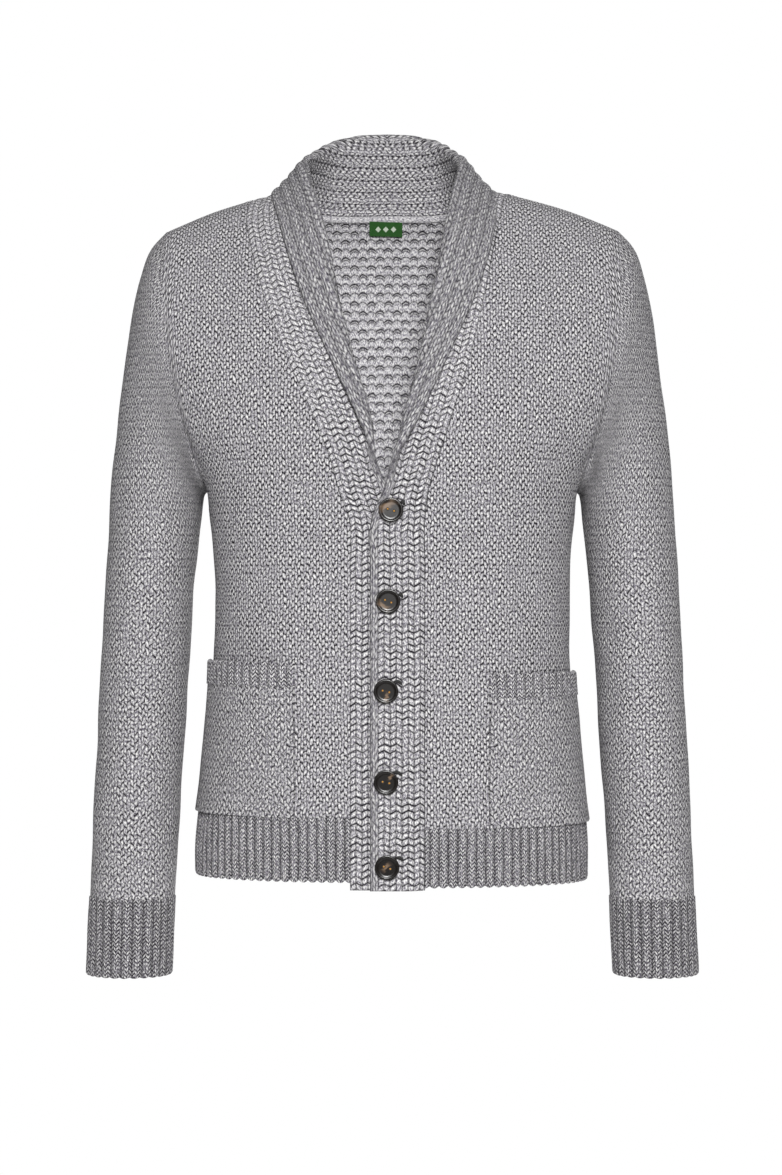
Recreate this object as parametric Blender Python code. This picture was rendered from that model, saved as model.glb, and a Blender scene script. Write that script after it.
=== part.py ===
"""Shawl collar cardigan in the shape that it has when it is worn, hollow and buttoned.

Metres, +Z up. The wearer faces -Y and the wearer's left is +X. The origin is midway between the
shoulders, level with the neck seam at the centre back.

Every knitted piece is a wall of cloth built on its own middle surface, a grid of points worked out
from the tables below. Pieces that meet at a seam take the same points and the same wall direction
there, and each stops half a seam gap short of it. The tables are in millimetres and degrees.

A level says how high a row of the body lies. Below the armpit it is the millimetres up to the armpit,
as a negative number. Above it is the degrees gone round the armhole, from 0 at the armpit to 180 at
the shoulder seam.
"""

import math
from collections import namedtuple

import bmesh
import bpy
from mathutils import Matrix, Vector

MM = 0.001

# Walls of cloth and the clearances between them
WALL = 4.0
POCKET_WALL = 3.6
LABEL_WALL = 0.8
SEAM_GAP = 0.4
LAYER_GAP = 0.6

FRONT = -1.0
BACK = 1.0

# Body
ARMPIT_Z = -264.0
SQUARENESS = 2.35
SHOULDER_LEVEL = 180.0
ARMHOLE_LEVELS = (26.0, 52.0, 78.0, 104.0, 127.0, 147.0, 164.0, SHOULDER_LEVEL)
FRONT_INNER_CELLS = 3
FRONT_OUTER_CELLS = 5
PANEL_CELLS = FRONT_INNER_CELLS + FRONT_OUTER_CELLS

Width = namedtuple("Width", "level half_width front back")
BODY_WIDTHS = (
    Width(-376, 184.0, 108, 104),
    Width(-336, 184.0, 111, 106),
    Width(-296, 180.0, 114, 108),
    Width(-251, 175.0, 116, 109),
    Width(-206, 170.5, 117, 110),
    Width(-148, 167.0, 118, 110),
    Width(-86, 167.0, 119, 110.5),
    Width(-36, 170.0, 120, 112.5),
    Width(0, 175.0, 121, 115),
)

# Middle of the front and the back above the armpit. Roundness is how much of a quarter turn a row
# makes between the middle and the armhole.
Chest = namedtuple("Chest", "level height front back roundness")
CHEST = (
    Chest(0, -264, 121, 115, 1.00),
    Chest(24, -251, 122, 116, 0.93),
    Chest(46, -220, 122, 118, 0.86),
    Chest(68, -173, 117, 120, 0.80),
    Chest(90, -118, 104, 119, 0.75),
    Chest(112, -64, 80, 111, 0.72),
    Chest(134, -17, 50, 94, 0.70),
    Chest(156, 14, 24, 62, 0.70),
    Chest(180, 27, 0, 0, 0.70),
)

# Rows of points up the body, on the wearer's right and left. The two sides hang a little unevenly.
Rows = namedtuple("Rows", "right left")
HEM_ROWS = (Rows(-362, -367), Rows(-333, -340), Rows(-303, -313))
PANEL_ROWS = (
    Rows(-303, -313),
    Rows(-263, -276),
    Rows(-223, -234),
    Rows(-183.5, -194),
    Rows(-161.5, -172),
    Rows(-116, -121),
    Rows(-71, -71),
    Rows(-31, -31),
    Rows(0, 0),
)

# Back neck: shares of the way from the centre back to the shoulder seam
NECK_SHARES = (0.0, 0.24, 0.45, 0.63, 0.82, 1.0)
NECK_CELLS = len(NECK_SHARES) - 1
BACK_NECK_LEVEL = 144.5
NECK_RISE = 3.5

# Sleeve rings, from the armhole to the wrist. Outer and inner are the ring's two ends seen from the
# front, depth is half its front-to-back size, bow pushes its middle away from the body.
Ring = namedtuple("Ring", "outer_x outer_z inner_x inner_z depth bow centre_y")
SLEEVE_RINGS = (
    Ring(213.0, -20, 175.0, -264, 62.0, 13, 0),
    Ring(226.0, -34, 178.0, -266, 63.0, 9, 0),
    Ring(237.0, -63, 180.0, -269, 63.0, 6, 0),
    Ring(245.0, -99, 181.0, -273, 62.0, 3, 0),
    Ring(251.0, -141, 182.0, -279, 61.0, 1, 0),
    Ring(256.5, -184, 183.0, -288, 60.0, 0, 0),
    Ring(261.5, -231, 184.5, -303, 58.5, 0, -1),
    Ring(266.0, -290, 186.5, -327, 57.0, 0, -2),
    Ring(269.5, -346, 189.5, -357, 56.0, 0, -4),
    Ring(272.0, -402, 192.5, -405, 54.5, 0, -6),
    Ring(275.0, -460, 196.0, -461, 52.0, 0, -8),
    Ring(278.5, -532, 200.5, -532, 48.5, 0, -10),
    Ring(282.0, -600, 205.0, -600, 44.5, 0, -11),
    Ring(284.0, -648, 207.0, -648, 41.5, 0, -12),
)
CUFF_RINGS = (
    Ring(284.0, -648, 207.0, -648, 41.5, 0, -12),
    Ring(285.5, -685, 209.5, -685, 40.5, 0, -13),
    Ring(286.5, -721, 211.0, -721, 40.0, 0, -14),
)
ARMHOLE = SLEEVE_RINGS[0]

# The band up each front. Seam is where the front panel ends, reach is how far the band lies flat from
# there, then its fold takes FRONT_FOLD of cloth through the turn, and the fall is what is turned back.
Band = namedtuple("Band", "level seam reach turn fall")
BAND_BOTTOM_LEVEL = -370.0
BAND_RIGHT = (
    Band(-376, 38.3, 36, 0, 2),
    Band(-71, 38.3, 36, 0, 2),
    Band(-31, 39.0, 36, 0, 2),
    Band(0, 50.0, 32, 2, 2),
    Band(24, 53.0, 29, 30, 2),
    Band(46, 63.0, 41, 145, 4),
    Band(68, 83.0, 50, 183, 12),
    Band(90, 105.0, 57, 184, 20),
    Band(112, 122.0, 62, 184, 31),
    Band(134, 133.0, 62, 184, 35),
    Band(156, 137.0, 62, 184, 35),
    Band(180, 131.0, 52, 180, 35),
)
BAND_LEFT = (
    Band(-376, 30.0, 36, 0, 2),
    Band(-71, 30.0, 36, 0, 2),
    Band(-31, 30.0, 35, 0, 2),
    Band(0, 34.0, 27, 20, 2),
    Band(24, 38.0, 30, 65, 3),
    Band(46, 48.0, 36, 150, 6),
    Band(68, 62.0, 38, 183, 15),
    Band(90, 79.0, 43, 184, 26),
    Band(112, 88.0, 41, 184, 38),
    Band(134, 98.0, 42, 184, 41),
    Band(156, 104.0, 43, 184, 42),
    Band(180, 107.0, 40, 180, 42),
)
FRONT_FOLD = 12.0
LAST_CHEST_LEVEL = 104.0
STAND_CELLS = 4
FOLD_CELLS = 4
FALL_CELLS = 3
LIFT_WIDTH = 14.0
LIFT_ENDS = (24.0, 68.0)
DROOP = 0.0008

# The roll of the collar round the neck. Place is a level while the collar is in front of the shoulder
# seam, and a share of the back neck behind it.
Roll = namedtuple("Roll", "place right_x left_x y z fold turn right_fall left_fall bulge")
SHOULDER_ROLLS = (
    Roll(127, 63, 50, -65, -23, 12, 184, 35, 41, 0.0),
    Roll(147, 70, 55, -43, 2, 12, 184, 35, 42, -2.0),
    Roll(164, 75, 59, -24, 20, 12, 184, 36, 42, -3.5),
    Roll(180, 78, 62, -3, 34, 12, 183, 37, 42, -4.0),
)
BACK_ROLLS = (
    Roll(0.82, 78, 63, 28, 50, 15, 184, 41, 43, 0.0),
    Roll(0.63, 70, 56, 56, 64, 16, 183, 54, 54, 0.0),
    Roll(0.45, 56, 44, 79, 76, 19, 178, 68, 68, 3.0),
    Roll(0.24, 34, 24, 93, 84, 20, 175, 76, 76, 3.0),
    Roll(0.0, 4, -4, 98, 86.5, 20, 174, 78, 78, 3.0),
)

# Patch pockets lie on the panel's own points, from the hem rib up and from this edge to the side seam
POCKET_EDGE_X = 88.0
POCKET_RIB_ROW = 3
POCKET_TOP_ROW = 4
POCKET_PUFF = 2.0

# Buttons down the wearer's left band
Button = namedtuple("Button", "x z")
BUTTONS = (
    Button(-1.0, -286),
    Button(-3.5, -369),
    Button(-5.5, -451),
    Button(-5.5, -534),
    Button(-4.5, -612),
)
BUTTON_RADIUS = 11.3
BUTTON_THICKNESS = 3.6
BUTTON_BEVEL = 0.7
BUTTON_RIM = 2.2
BUTTON_DISH = 0.7
BUTTON_SEGMENTS = 20
BUTTON_CLEARANCE = 1.6
HOLE_RADIUS = 1.0
HOLE_SPACING = 6.0
HOLE_SEGMENTS = 8

# Neck label, hung from the back neck seam inside the back panel
LABEL_COLUMNS = (-22.0, -6.0, 10.0)
LABEL_LENGTH = 16.0
LABEL_DROP = 2.0

Side = namedtuple("Side", "name sign band")
LEFT = Side("left", 1.0, BAND_LEFT)
RIGHT = Side("right", -1.0, BAND_RIGHT)

Finish = namedtuple("Finish", "name colour roughness")
BODY_KNIT = Finish("body_knit", (0.26, 0.25, 0.28), 0.9)
RIB_KNIT = Finish("rib_knit", (0.24, 0.23, 0.26), 0.9)
BAND_KNIT = Finish("band_knit", (0.25, 0.24, 0.27), 0.9)
HORN = Finish("horn", (0.02, 0.015, 0.012), 0.35)
LABEL_WEAVE = Finish("label_weave", (0.01, 0.09, 0.025), 0.7)

Shell = namedtuple("Shell", "name group points flip tube wall finish")
Section = namedtuple("Section", "centre edge roundness")


def mix(start, end, share):
    """Value a share of the way from start to end."""
    return start + (end - start) * share


def smooth_step(share):
    """Ease a share from 0 to 1 in and out."""
    share = min(max(share, 0.0), 1.0)
    return share * share * (3.0 - 2.0 * share)


def column_slope(rows, index, column):
    """Slope of a table's column at a row, taken from the rows on both sides of it."""
    low = rows[max(index - 1, 0)]
    high = rows[min(index + 1, len(rows) - 1)]
    return (high[column] - low[column]) / (high[0] - low[0])


def read_row(rows, key):
    """Row of a table at any key, on a smooth cubic through each named column."""
    key = min(max(key, rows[0][0]), rows[-1][0])
    index = max(i for i in range(len(rows) - 1) if rows[i][0] <= key)
    low, high = rows[index], rows[index + 1]
    span = high[0] - low[0]
    s = (key - low[0]) / span
    values = [key]
    for column in range(1, len(low)):
        start = column_slope(rows, index, column) * span
        end = column_slope(rows, index + 1, column) * span
        values.append(
            low[column] * (2 * s**3 - 3 * s**2 + 1)
            + start * (s**3 - 2 * s**2 + s)
            + high[column] * (3 * s**2 - 2 * s**3)
            + end * (s**3 - s**2)
        )
    return type(low)(*values)


def ring_point(ring, angle, face):
    """Point of a sleeve ring: -90 degrees at the underarm, 90 at the outer side, by way of the face."""
    turn = math.radians(angle)
    outer = Vector((ring.outer_x, ring.centre_y, ring.outer_z))
    inner = Vector((ring.inner_x, ring.centre_y, ring.inner_z))
    half = (outer - inner) / 2
    away = Vector((half.z, 0.0, -half.x)).normalized()
    point = (outer + inner) / 2 + half * math.sin(turn) + away * ring.bow * math.cos(turn) ** 2
    return point + Vector((0.0, face * ring.depth * math.cos(turn), 0.0))


def section_at(level, face):
    """Section of the body's middle surface at a level, on one face of the wearer's left half."""
    if level <= 0.0:
        width = read_row(BODY_WIDTHS, level)
        depth = width.front if face == FRONT else width.back
        height = ARMPIT_Z + level
        return Section(Vector((0.0, face * depth, height)), Vector((width.half_width, 0.0, height)), 1.0)
    chest = read_row(CHEST, level)
    depth = chest.front if face == FRONT else chest.back
    return Section(
        Vector((0.0, face * depth, chest.height)),
        ring_point(ARMHOLE, level - 90.0, face),
        chest.roundness,
    )


def section_point(section, x):
    """Point of a section at x: a rounded-square arc from the centre to the edge."""
    share = min(abs(x) / section.edge.x, 1.0)
    whole = 1.0 - (1.0 - section.roundness) ** (1.0 / SQUARENESS)
    gone = 1.0 - (1.0 - section.roundness * share**SQUARENESS) ** (1.0 / SQUARENESS)
    y = mix(section.centre.y, section.edge.y, gone / whole)
    z = mix(section.centre.z, section.edge.z, share**2)
    return Vector((x, y, z))


def surface_point(face, level, x):
    """Point of the body's middle surface."""
    return section_point(section_at(level, face), x)


def surface_normal(face, level, x):
    """Outward direction of the body's middle surface."""
    across = surface_point(face, level, x + 1.0) - surface_point(face, level, x - 1.0)
    upper = min(level + 1.0, SHOULDER_LEVEL)
    up = surface_point(face, upper, x) - surface_point(face, upper - 2.0, x)
    normal = across.cross(up).normalized()
    if normal.dot(Vector((0.0, face, 1.0))) < 0.0:
        normal.negate()
    return normal


def side_angle(share):
    """Angle round a section, in radians, of a share of its half width."""
    return math.asin(min(share, 1.0) ** (SQUARENESS / 2.0))


def side_share(angle):
    """Share of the half width at an angle round a section."""
    return math.sin(angle) ** (2.0 / SQUARENESS)


def front_columns(edge_x, seam_x, rise):
    """Distances from the centre of a front panel's columns. Rise goes from 0 at the hem to 1 at the shoulder."""
    pocket = side_angle(POCKET_EDGE_X / edge_x)
    columns = []
    for i in range(PANEL_CELLS + 1):
        if i <= FRONT_INNER_CELLS:
            low = mix(seam_x, POCKET_EDGE_X, i / FRONT_INNER_CELLS)
        else:
            outer = (i - FRONT_INNER_CELLS) / FRONT_OUTER_CELLS
            low = edge_x * side_share(mix(pocket, math.pi / 2, outer))
        columns.append(mix(low, mix(seam_x, edge_x, i / PANEL_CELLS), rise))
    return columns


def front_row(side, level):
    """Points across a front panel at a level, from the band seam to the side seam or armhole."""
    section = section_at(level, FRONT)
    seam = read_row(side.band, level).seam
    rise = smooth_step(level / SHOULDER_LEVEL)
    return [section_point(section, side.sign * x) for x in front_columns(section.edge.x, seam, rise)]


def back_share(column, shoulder_x, edge_x, rise):
    """Share of the half width of a back column, counted from the centre."""
    low = side_share(math.pi / 2 * column / (NECK_CELLS + PANEL_CELLS))
    if column <= NECK_CELLS:
        high = shoulder_x * NECK_SHARES[column] / edge_x
    else:
        high = mix(shoulder_x / edge_x, 1.0, (column - NECK_CELLS) / PANEL_CELLS)
    return mix(low, high, rise)


def neck_level(share):
    """Level of the back neck seam at a share of the way from the centre back to the shoulder."""
    return mix(BACK_NECK_LEVEL, SHOULDER_LEVEL, min(share, 1.0) ** NECK_RISE)


def back_columns():
    """Side and column number of each column across the back, from the wearer's left to the right."""
    count = NECK_CELLS + PANEL_CELLS
    left = [(LEFT, column) for column in range(count, -1, -1)]
    return left + [(RIGHT, column) for column in range(1, count + 1)]


def back_low_point(side, column, rows):
    """Point of the back below the armpit. Its height eases from one side's row to the other's."""
    share = back_share(column, 0.0, 1.0, 0.0)
    level = mix(rows.right, rows.left, (1.0 + side.sign * share) / 2.0)
    section = section_at(level, BACK)
    return section_point(section, side.sign * share * section.edge.x)


def back_high_point(side, column, level):
    """Point of the back above the armpit. Rows close up towards the neck seam and the shoulder seam."""
    shoulder_x = side.band[-1].seam
    top = neck_level(NECK_SHARES[column]) if column < NECK_CELLS else SHOULDER_LEVEL
    section = section_at(level * top / SHOULDER_LEVEL, BACK)
    rise = smooth_step(level / SHOULDER_LEVEL)
    share = back_share(column, shoulder_x, section.edge.x, rise)
    return section_point(section, side.sign * share * section.edge.x)


def neck_point(side, share):
    """Point of the back neck seam."""
    return back_high_point(side, NECK_SHARES.index(share), SHOULDER_LEVEL)


def front_panel(side):
    """Front panel from the hem rib to the shoulder seam."""
    levels = [getattr(rows, side.name) for rows in PANEL_ROWS] + list(ARMHOLE_LEVELS)
    points = [front_row(side, level) for level in levels]
    return Shell(f"front_{side.name}", "body", points, side is RIGHT, False, WALL, BODY_KNIT)


def front_hem(side):
    """Hem rib of a front panel."""
    points = [front_row(side, getattr(rows, side.name)) for rows in HEM_ROWS]
    return Shell(f"hem_front_{side.name}", "body", points, side is RIGHT, False, WALL, RIB_KNIT)


def back_panel():
    """Back panel from the hem rib to the shoulder seams and the neck."""
    columns = back_columns()
    points = [[back_low_point(side, column, rows) for side, column in columns] for rows in PANEL_ROWS]
    points += [[back_high_point(side, column, level) for side, column in columns] for level in ARMHOLE_LEVELS]
    return Shell("back", "body", points, False, False, WALL, BODY_KNIT)


def back_hem():
    """Hem rib of the back panel."""
    columns = back_columns()
    points = [[back_low_point(side, column, rows) for side, column in columns] for rows in HEM_ROWS]
    return Shell("hem_back", "body", points, False, False, WALL, RIB_KNIT)


def sleeve_tube(name, rings, side, finish):
    """Tube of a sleeve or cuff. Its rings have a point for each row that meets the armhole."""
    front = [-90.0] + [level - 90.0 for level in ARMHOLE_LEVELS]
    around = [(angle, FRONT) for angle in front] + [(angle, BACK) for angle in reversed(front[1:-1])]
    points = []
    for ring in rings:
        row = [ring_point(ring, angle, face) for angle, face in around]
        for point in row:
            point.x *= side.sign
        points.append(row)
    return Shell(f"{name}_{side.name}", "sleeve", points, side is LEFT, True, WALL, finish)


def rolled(base, normal, fold, turn, fall, droop):
    """Carry a crossing of the band on through its fold and along its fall."""
    start = base[-1]
    ahead = (base[-1] - base[-2]).normalized()
    normal = (normal - ahead * normal.dot(ahead)).normalized()
    turn = math.radians(turn)
    points = list(base)
    for i in range(1, FOLD_CELLS + 1):
        length = fold * i / FOLD_CELLS
        angle = turn * i / FOLD_CELLS
        if angle < 1e-3:
            points.append(start + ahead * length)
            continue
        radius = fold / turn
        points.append(start + (ahead * math.sin(angle) + normal * (1.0 - math.cos(angle))) * radius)
    end = points[-1]
    heading = ahead * math.cos(turn) + normal * math.sin(turn)
    for i in range(1, FALL_CELLS + 1):
        length = fall * i / FALL_CELLS
        points.append(end + heading * length - normal * droop * length**2)
    return points


def band_row(side, level):
    """One crossing of the band where it lies on the chest. The wearer's left band lies over the right."""
    band = read_row(side.band, level)
    lift = 0.0
    if side is LEFT:
        low, high = LIFT_ENDS
        lift = (WALL + LAYER_GAP) * (1.0 - smooth_step((level - low) / (high - low)))
    base = []
    for i in range(STAND_CELLS + 1):
        gone = band.reach * i / STAND_CELLS
        x = side.sign * (band.seam - gone)
        normal = surface_normal(FRONT, level, x)
        base.append(surface_point(FRONT, level, x) + normal * lift * smooth_step(gone / LIFT_WIDTH))
    return rolled(base, normal, FRONT_FOLD, band.turn, band.fall, DROOP)


def roll_row(side, roll, seam, normal):
    """One crossing of the collar where it stands off the body, from its seam over its roll."""
    x = -roll.right_x if side is RIGHT else roll.left_x
    fall = roll.right_fall if side is RIGHT else roll.left_fall
    top = Vector((x, roll.y, roll.z))
    ahead = (top - seam).normalized()
    end = top - ahead * roll.fold / math.radians(roll.turn)
    out = (normal - ahead * normal.dot(ahead)).normalized()
    base = []
    for i in range(STAND_CELLS + 1):
        share = i / STAND_CELLS
        base.append(seam.lerp(end, share) + out * roll.bulge * 4.0 * share * (1.0 - share))
    base[-2] = base[-2].lerp(base[-3].lerp(base[-1], 0.5), 0.5)
    return rolled(base, normal, roll.fold, roll.turn, fall, 0.0)


def band_collar(side):
    """Front band and collar half in one strip, from the hem to the seam at the centre back."""
    levels = [BAND_BOTTOM_LEVEL] + [getattr(rows, side.name) for rows in HEM_ROWS[:-1] + PANEL_ROWS]
    levels += [level for level in ARMHOLE_LEVELS if level <= LAST_CHEST_LEVEL]
    points = [band_row(side, level) for level in levels]
    for roll in SHOULDER_ROLLS:
        seam_x = side.sign * read_row(side.band, roll.place).seam
        seam = surface_point(FRONT, roll.place, seam_x)
        points.append(roll_row(side, roll, seam, surface_normal(FRONT, roll.place, seam_x)))
    for roll in BACK_ROLLS:
        seam = neck_point(side, roll.place)
        normal = surface_normal(BACK, neck_level(roll.place), seam.x)
        points.append(roll_row(side, roll, seam, normal))
    return Shell(f"band_collar_{side.name}", "collar", points, side is LEFT, False, WALL, BAND_KNIT)


def grid_normals(shell):
    """Outward directions at a shell's points, from its neighbouring points."""
    points = shell.points
    rows, columns = len(points), len(points[0])
    normals = []
    for i in range(rows):
        low, high = max(i - 1, 0), min(i + 1, rows - 1)
        row = []
        for j in range(columns):
            if shell.tube:
                before, after = (j - 1) % columns, (j + 1) % columns
            else:
                before, after = max(j - 1, 0), min(j + 1, columns - 1)
            across = points[i][after] - points[i][before]
            up = points[high][j] - points[low][j]
            normal = across.cross(up).normalized()
            row.append(-normal if shell.flip else normal)
        normals.append(row)
    return normals


def seam_key(point):
    """Name of a place, the same for all pieces that meet there."""
    return tuple(round(value, 2) for value in point)


def share_seam_normals(shells, normals):
    """Give pieces that meet at a point one wall direction there, halfway between body, sleeve and collar."""
    meeting = {}
    for shell in shells:
        for points, directions in zip(shell.points, normals[shell.name]):
            for point, normal in zip(points, directions):
                groups = meeting.setdefault(seam_key(point), {})
                groups[shell.group] = groups.get(shell.group, Vector()) + normal
    for shell in shells:
        for i, points in enumerate(shell.points):
            for j, point in enumerate(points):
                groups = meeting[seam_key(point)]
                total = sum((group.normalized() for group in groups.values()), Vector())
                normals[shell.name][i][j] = total.normalized()


def trimmed(shell):
    """Shell points with each border moved half a seam gap inwards, along the cloth."""
    points = [[point.copy() for point in row] for row in shell.points]
    source = shell.points
    rows, columns = len(source), len(source[0])
    half = SEAM_GAP / 2.0
    for j in range(columns):
        points[0][j] += (source[1][j] - source[0][j]).normalized() * half
        points[-1][j] += (source[-2][j] - source[-1][j]).normalized() * half
    if not shell.tube:
        for i in range(rows):
            points[i][0] += (source[i][1] - source[i][0]).normalized() * half
            points[i][-1] += (source[i][-2] - source[i][-1]).normalized() * half
    return points


def new_object(name, mesh, finish):
    """Object with its own material."""
    material = bpy.data.materials.new(name)
    material.use_nodes = True
    surface = material.node_tree.nodes["Principled BSDF"]
    surface.inputs["Base Color"].default_value = (*finish.colour, 1.0)
    surface.inputs["Roughness"].default_value = finish.roughness
    surface.inputs["Metallic"].default_value = 0.0
    mesh.materials.append(material)
    part = bpy.data.objects.new(name, mesh)
    bpy.context.scene.collection.objects.link(part)
    return part


def build_wall(shell, points, normals):
    """Solid wall of cloth, half its thickness to each side of the middle points."""
    work = bmesh.new()
    faces = []
    for side in (0.5, -0.5):
        faces.append([
            [work.verts.new((point + normal * shell.wall * side) * MM) for point, normal in zip(row, directions)]
            for row, directions in zip(points, normals)
        ])
    outer, inner = faces
    rows, columns = len(points), len(points[0])
    steps = columns if shell.tube else columns - 1
    for i in range(rows - 1):
        for j in range(steps):
            k = (j + 1) % columns
            work.faces.new((outer[i][j], outer[i][k], outer[i + 1][k], outer[i + 1][j]))
            work.faces.new((inner[i][j], inner[i + 1][j], inner[i + 1][k], inner[i][k]))
    for j in range(steps):
        k = (j + 1) % columns
        work.faces.new((outer[0][k], outer[0][j], inner[0][j], inner[0][k]))
        work.faces.new((outer[-1][j], outer[-1][k], inner[-1][k], inner[-1][j]))
    if not shell.tube:
        for i in range(rows - 1):
            work.faces.new((outer[i][0], outer[i + 1][0], inner[i + 1][0], inner[i][0]))
            work.faces.new((outer[i + 1][-1], outer[i][-1], inner[i][-1], inner[i + 1][-1]))
    bmesh.ops.recalc_face_normals(work, faces=work.faces)
    mesh = bpy.data.meshes.new(shell.name)
    work.to_mesh(mesh)
    work.free()
    mesh.shade_smooth()
    mesh.set_sharp_from_angle(angle=math.radians(50.0))
    return new_object(shell.name, mesh, shell.finish)


def build_pocket(name, panel, normals, first_row, last_row, finish):
    """Part of a patch pocket, made from the panel's points moved out. It stands off most at the mouth."""
    base = WALL / 2.0 + SEAM_GAP + POCKET_WALL / 2.0
    points = []
    directions = []
    for i in range(first_row, last_row + 1):
        row = []
        for j in range(FRONT_INNER_CELLS, PANEL_CELLS + 1):
            across = (j - FRONT_INNER_CELLS) / FRONT_OUTER_CELLS
            puff = POCKET_PUFF * math.sin(math.pi * across) * i / POCKET_TOP_ROW
            row.append(panel.points[i][j] + normals[i][j] * (base + puff))
        points.append(row)
        directions.append([normals[i][j] for j in range(FRONT_INNER_CELLS, PANEL_CELLS + 1)])
    shell = Shell(name, "pocket", points, panel.flip, False, POCKET_WALL, finish)
    return build_wall(shell, trimmed(shell), directions)


def build_label(back):
    """Neck label, made from the two cells of the back panel that meet at the top of its centre line."""
    middle = NECK_CELLS + PANEL_CELLS
    depth = WALL / 2.0 + SEAM_GAP + LABEL_WALL / 2.0
    points = []
    for drop in (LABEL_DROP + LABEL_LENGTH, LABEL_DROP):
        row = []
        for x in LABEL_COLUMNS:
            other = middle - 1 if x > 0.0 else middle + 1
            top = back.points[-1]
            below = back.points[-2]
            share = x / top[other].x
            upper = top[middle].lerp(top[other], share)
            lower = below[middle].lerp(below[other], share)
            row.append(upper + (lower - upper).normalized() * drop)
        points.append(row)
    across = points[0][-1] - points[0][0]
    up = points[1][0] - points[0][0]
    normal = across.cross(up).normalized()
    inward = normal if normal.y < 0.0 else -normal
    points = [[point + inward * depth for point in row] for row in points]
    shell = Shell("label", "label", points, False, False, LABEL_WALL, LABEL_WEAVE)
    return build_wall(shell, points, [[inward] * len(LABEL_COLUMNS)] * 2)


def button_profile():
    """Half outline of a button from its back centre round to its dished face, as radius and height."""
    half = BUTTON_THICKNESS / 2.0
    radius = BUTTON_RADIUS
    return (
        (0.0, -half),
        (radius - BUTTON_BEVEL, -half),
        (radius, -half + BUTTON_BEVEL),
        (radius, half - BUTTON_BEVEL),
        (radius - BUTTON_BEVEL, half),
        (radius - BUTTON_RIM, half),
        (radius - BUTTON_RIM - BUTTON_DISH, half - BUTTON_DISH),
        (0.0, half - BUTTON_DISH),
    )


def build_button(number, button, cutters):
    """Two-hole button lying on the wearer's left band, its face towards -Y."""
    work = bmesh.new()
    profile = [work.verts.new((radius * MM, 0.0, height * MM)) for radius, height in button_profile()]
    edges = [work.edges.new(pair) for pair in zip(profile, profile[1:])]
    bmesh.ops.spin(
        work,
        geom=profile + edges,
        axis=(0.0, 0.0, 1.0),
        cent=(0.0, 0.0, 0.0),
        angle=2.0 * math.pi,
        steps=BUTTON_SEGMENTS,
        use_merge=True,
    )
    bmesh.ops.remove_doubles(work, verts=work.verts, dist=0.01 * MM)
    bmesh.ops.recalc_face_normals(work, faces=work.faces)
    name = f"button_{number}"
    mesh = bpy.data.meshes.new(name)
    work.to_mesh(mesh)
    work.free()
    mesh.shade_smooth()
    mesh.set_sharp_from_angle(angle=math.radians(30.0))
    part = new_object(name, mesh, HORN)
    cloth = surface_point(FRONT, button.z - ARMPIT_Z, button.x)
    out = WALL * 1.5 + LAYER_GAP + BUTTON_CLEARANCE + BUTTON_THICKNESS / 2.0
    part.location = (cloth + Vector((0.0, -out, 0.0))) * MM
    part.rotation_euler = (math.pi / 2.0, 0.0, 0.0)
    for cutter in cutters:
        hole = part.modifiers.new("hole", "BOOLEAN")
        hole.operation = "DIFFERENCE"
        hole.solver = "EXACT"
        hole.object = hole_copy(cutter, part)
    return part


def hole_copy(cutter, part):
    """Cutter for one thread hole, placed on a button."""
    copy = cutter.copy()
    bpy.context.scene.collection.objects.link(copy)
    copy.matrix_world = Matrix.LocRotScale(part.location, part.rotation_euler, None) @ cutter.matrix_world
    copy.hide_render = True
    copy.display_type = "WIRE"
    return copy


def hole_cutters():
    """Two straight cutters, one for each thread hole of a button."""
    cutters = []
    for sign in (-1.0, 1.0):
        work = bmesh.new()
        bmesh.ops.create_cone(
            work,
            cap_ends=True,
            segments=HOLE_SEGMENTS,
            radius1=HOLE_RADIUS * MM,
            radius2=HOLE_RADIUS * MM,
            depth=BUTTON_THICKNESS * 2.0 * MM,
        )
        mesh = bpy.data.meshes.new("hole_cutter")
        work.to_mesh(mesh)
        work.free()
        cutter = bpy.data.objects.new("hole_cutter", mesh)
        cutter.hide_render = True
        cutter.display_type = "WIRE"
        cutter.matrix_world = Matrix.Translation((sign * HOLE_SPACING / 2.0 * MM, 0.0, 0.0))
        bpy.context.scene.collection.objects.link(cutter)
        cutters.append(cutter)
    return cutters


def main():
    """Build every piece of the cardigan."""
    for item in list(bpy.data.objects):
        bpy.data.objects.remove(item, do_unlink=True)

    fronts = [front_panel(side) for side in (LEFT, RIGHT)]
    back = back_panel()
    shells = fronts + [back, back_hem()]
    for side in (LEFT, RIGHT):
        shells.append(front_hem(side))
        shells.append(sleeve_tube("sleeve", SLEEVE_RINGS, side, BODY_KNIT))
        shells.append(sleeve_tube("cuff", CUFF_RINGS, side, RIB_KNIT))
        shells.append(band_collar(side))
    normals = {shell.name: grid_normals(shell) for shell in shells}
    share_seam_normals(shells, normals)
    for shell in shells:
        build_wall(shell, trimmed(shell), normals[shell.name])

    for side, panel in zip((LEFT, RIGHT), fronts):
        directions = normals[panel.name]
        build_pocket(f"pocket_{side.name}", panel, directions, 0, POCKET_RIB_ROW, BODY_KNIT)
        build_pocket(f"pocket_rib_{side.name}", panel, directions, POCKET_RIB_ROW, POCKET_TOP_ROW, RIB_KNIT)
    build_label(back)

    cutters = hole_cutters()
    for number, button in enumerate(BUTTONS, start=1):
        build_button(number, button, cutters)


main()
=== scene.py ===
"""Looks of a shawl collar cardigan, knitted in thick marled wool and shown as it is worn.

Metres in the meshes and +Z up. The wearer faces -Y and the wearer's left is +X. The tables of the
garment's form are in millimetres and degrees, and so are the coordinates that the knit is drawn in:
U runs across the wales and V along them, so a stitch has its real size wherever it lies.

A level says how high a row of the body lies. Below the armpit it is the millimetres up to the armpit,
as a negative number. Above it is the degrees gone round the armhole, from 0 at the armpit to 180 at
the shoulder seam.
"""

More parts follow.
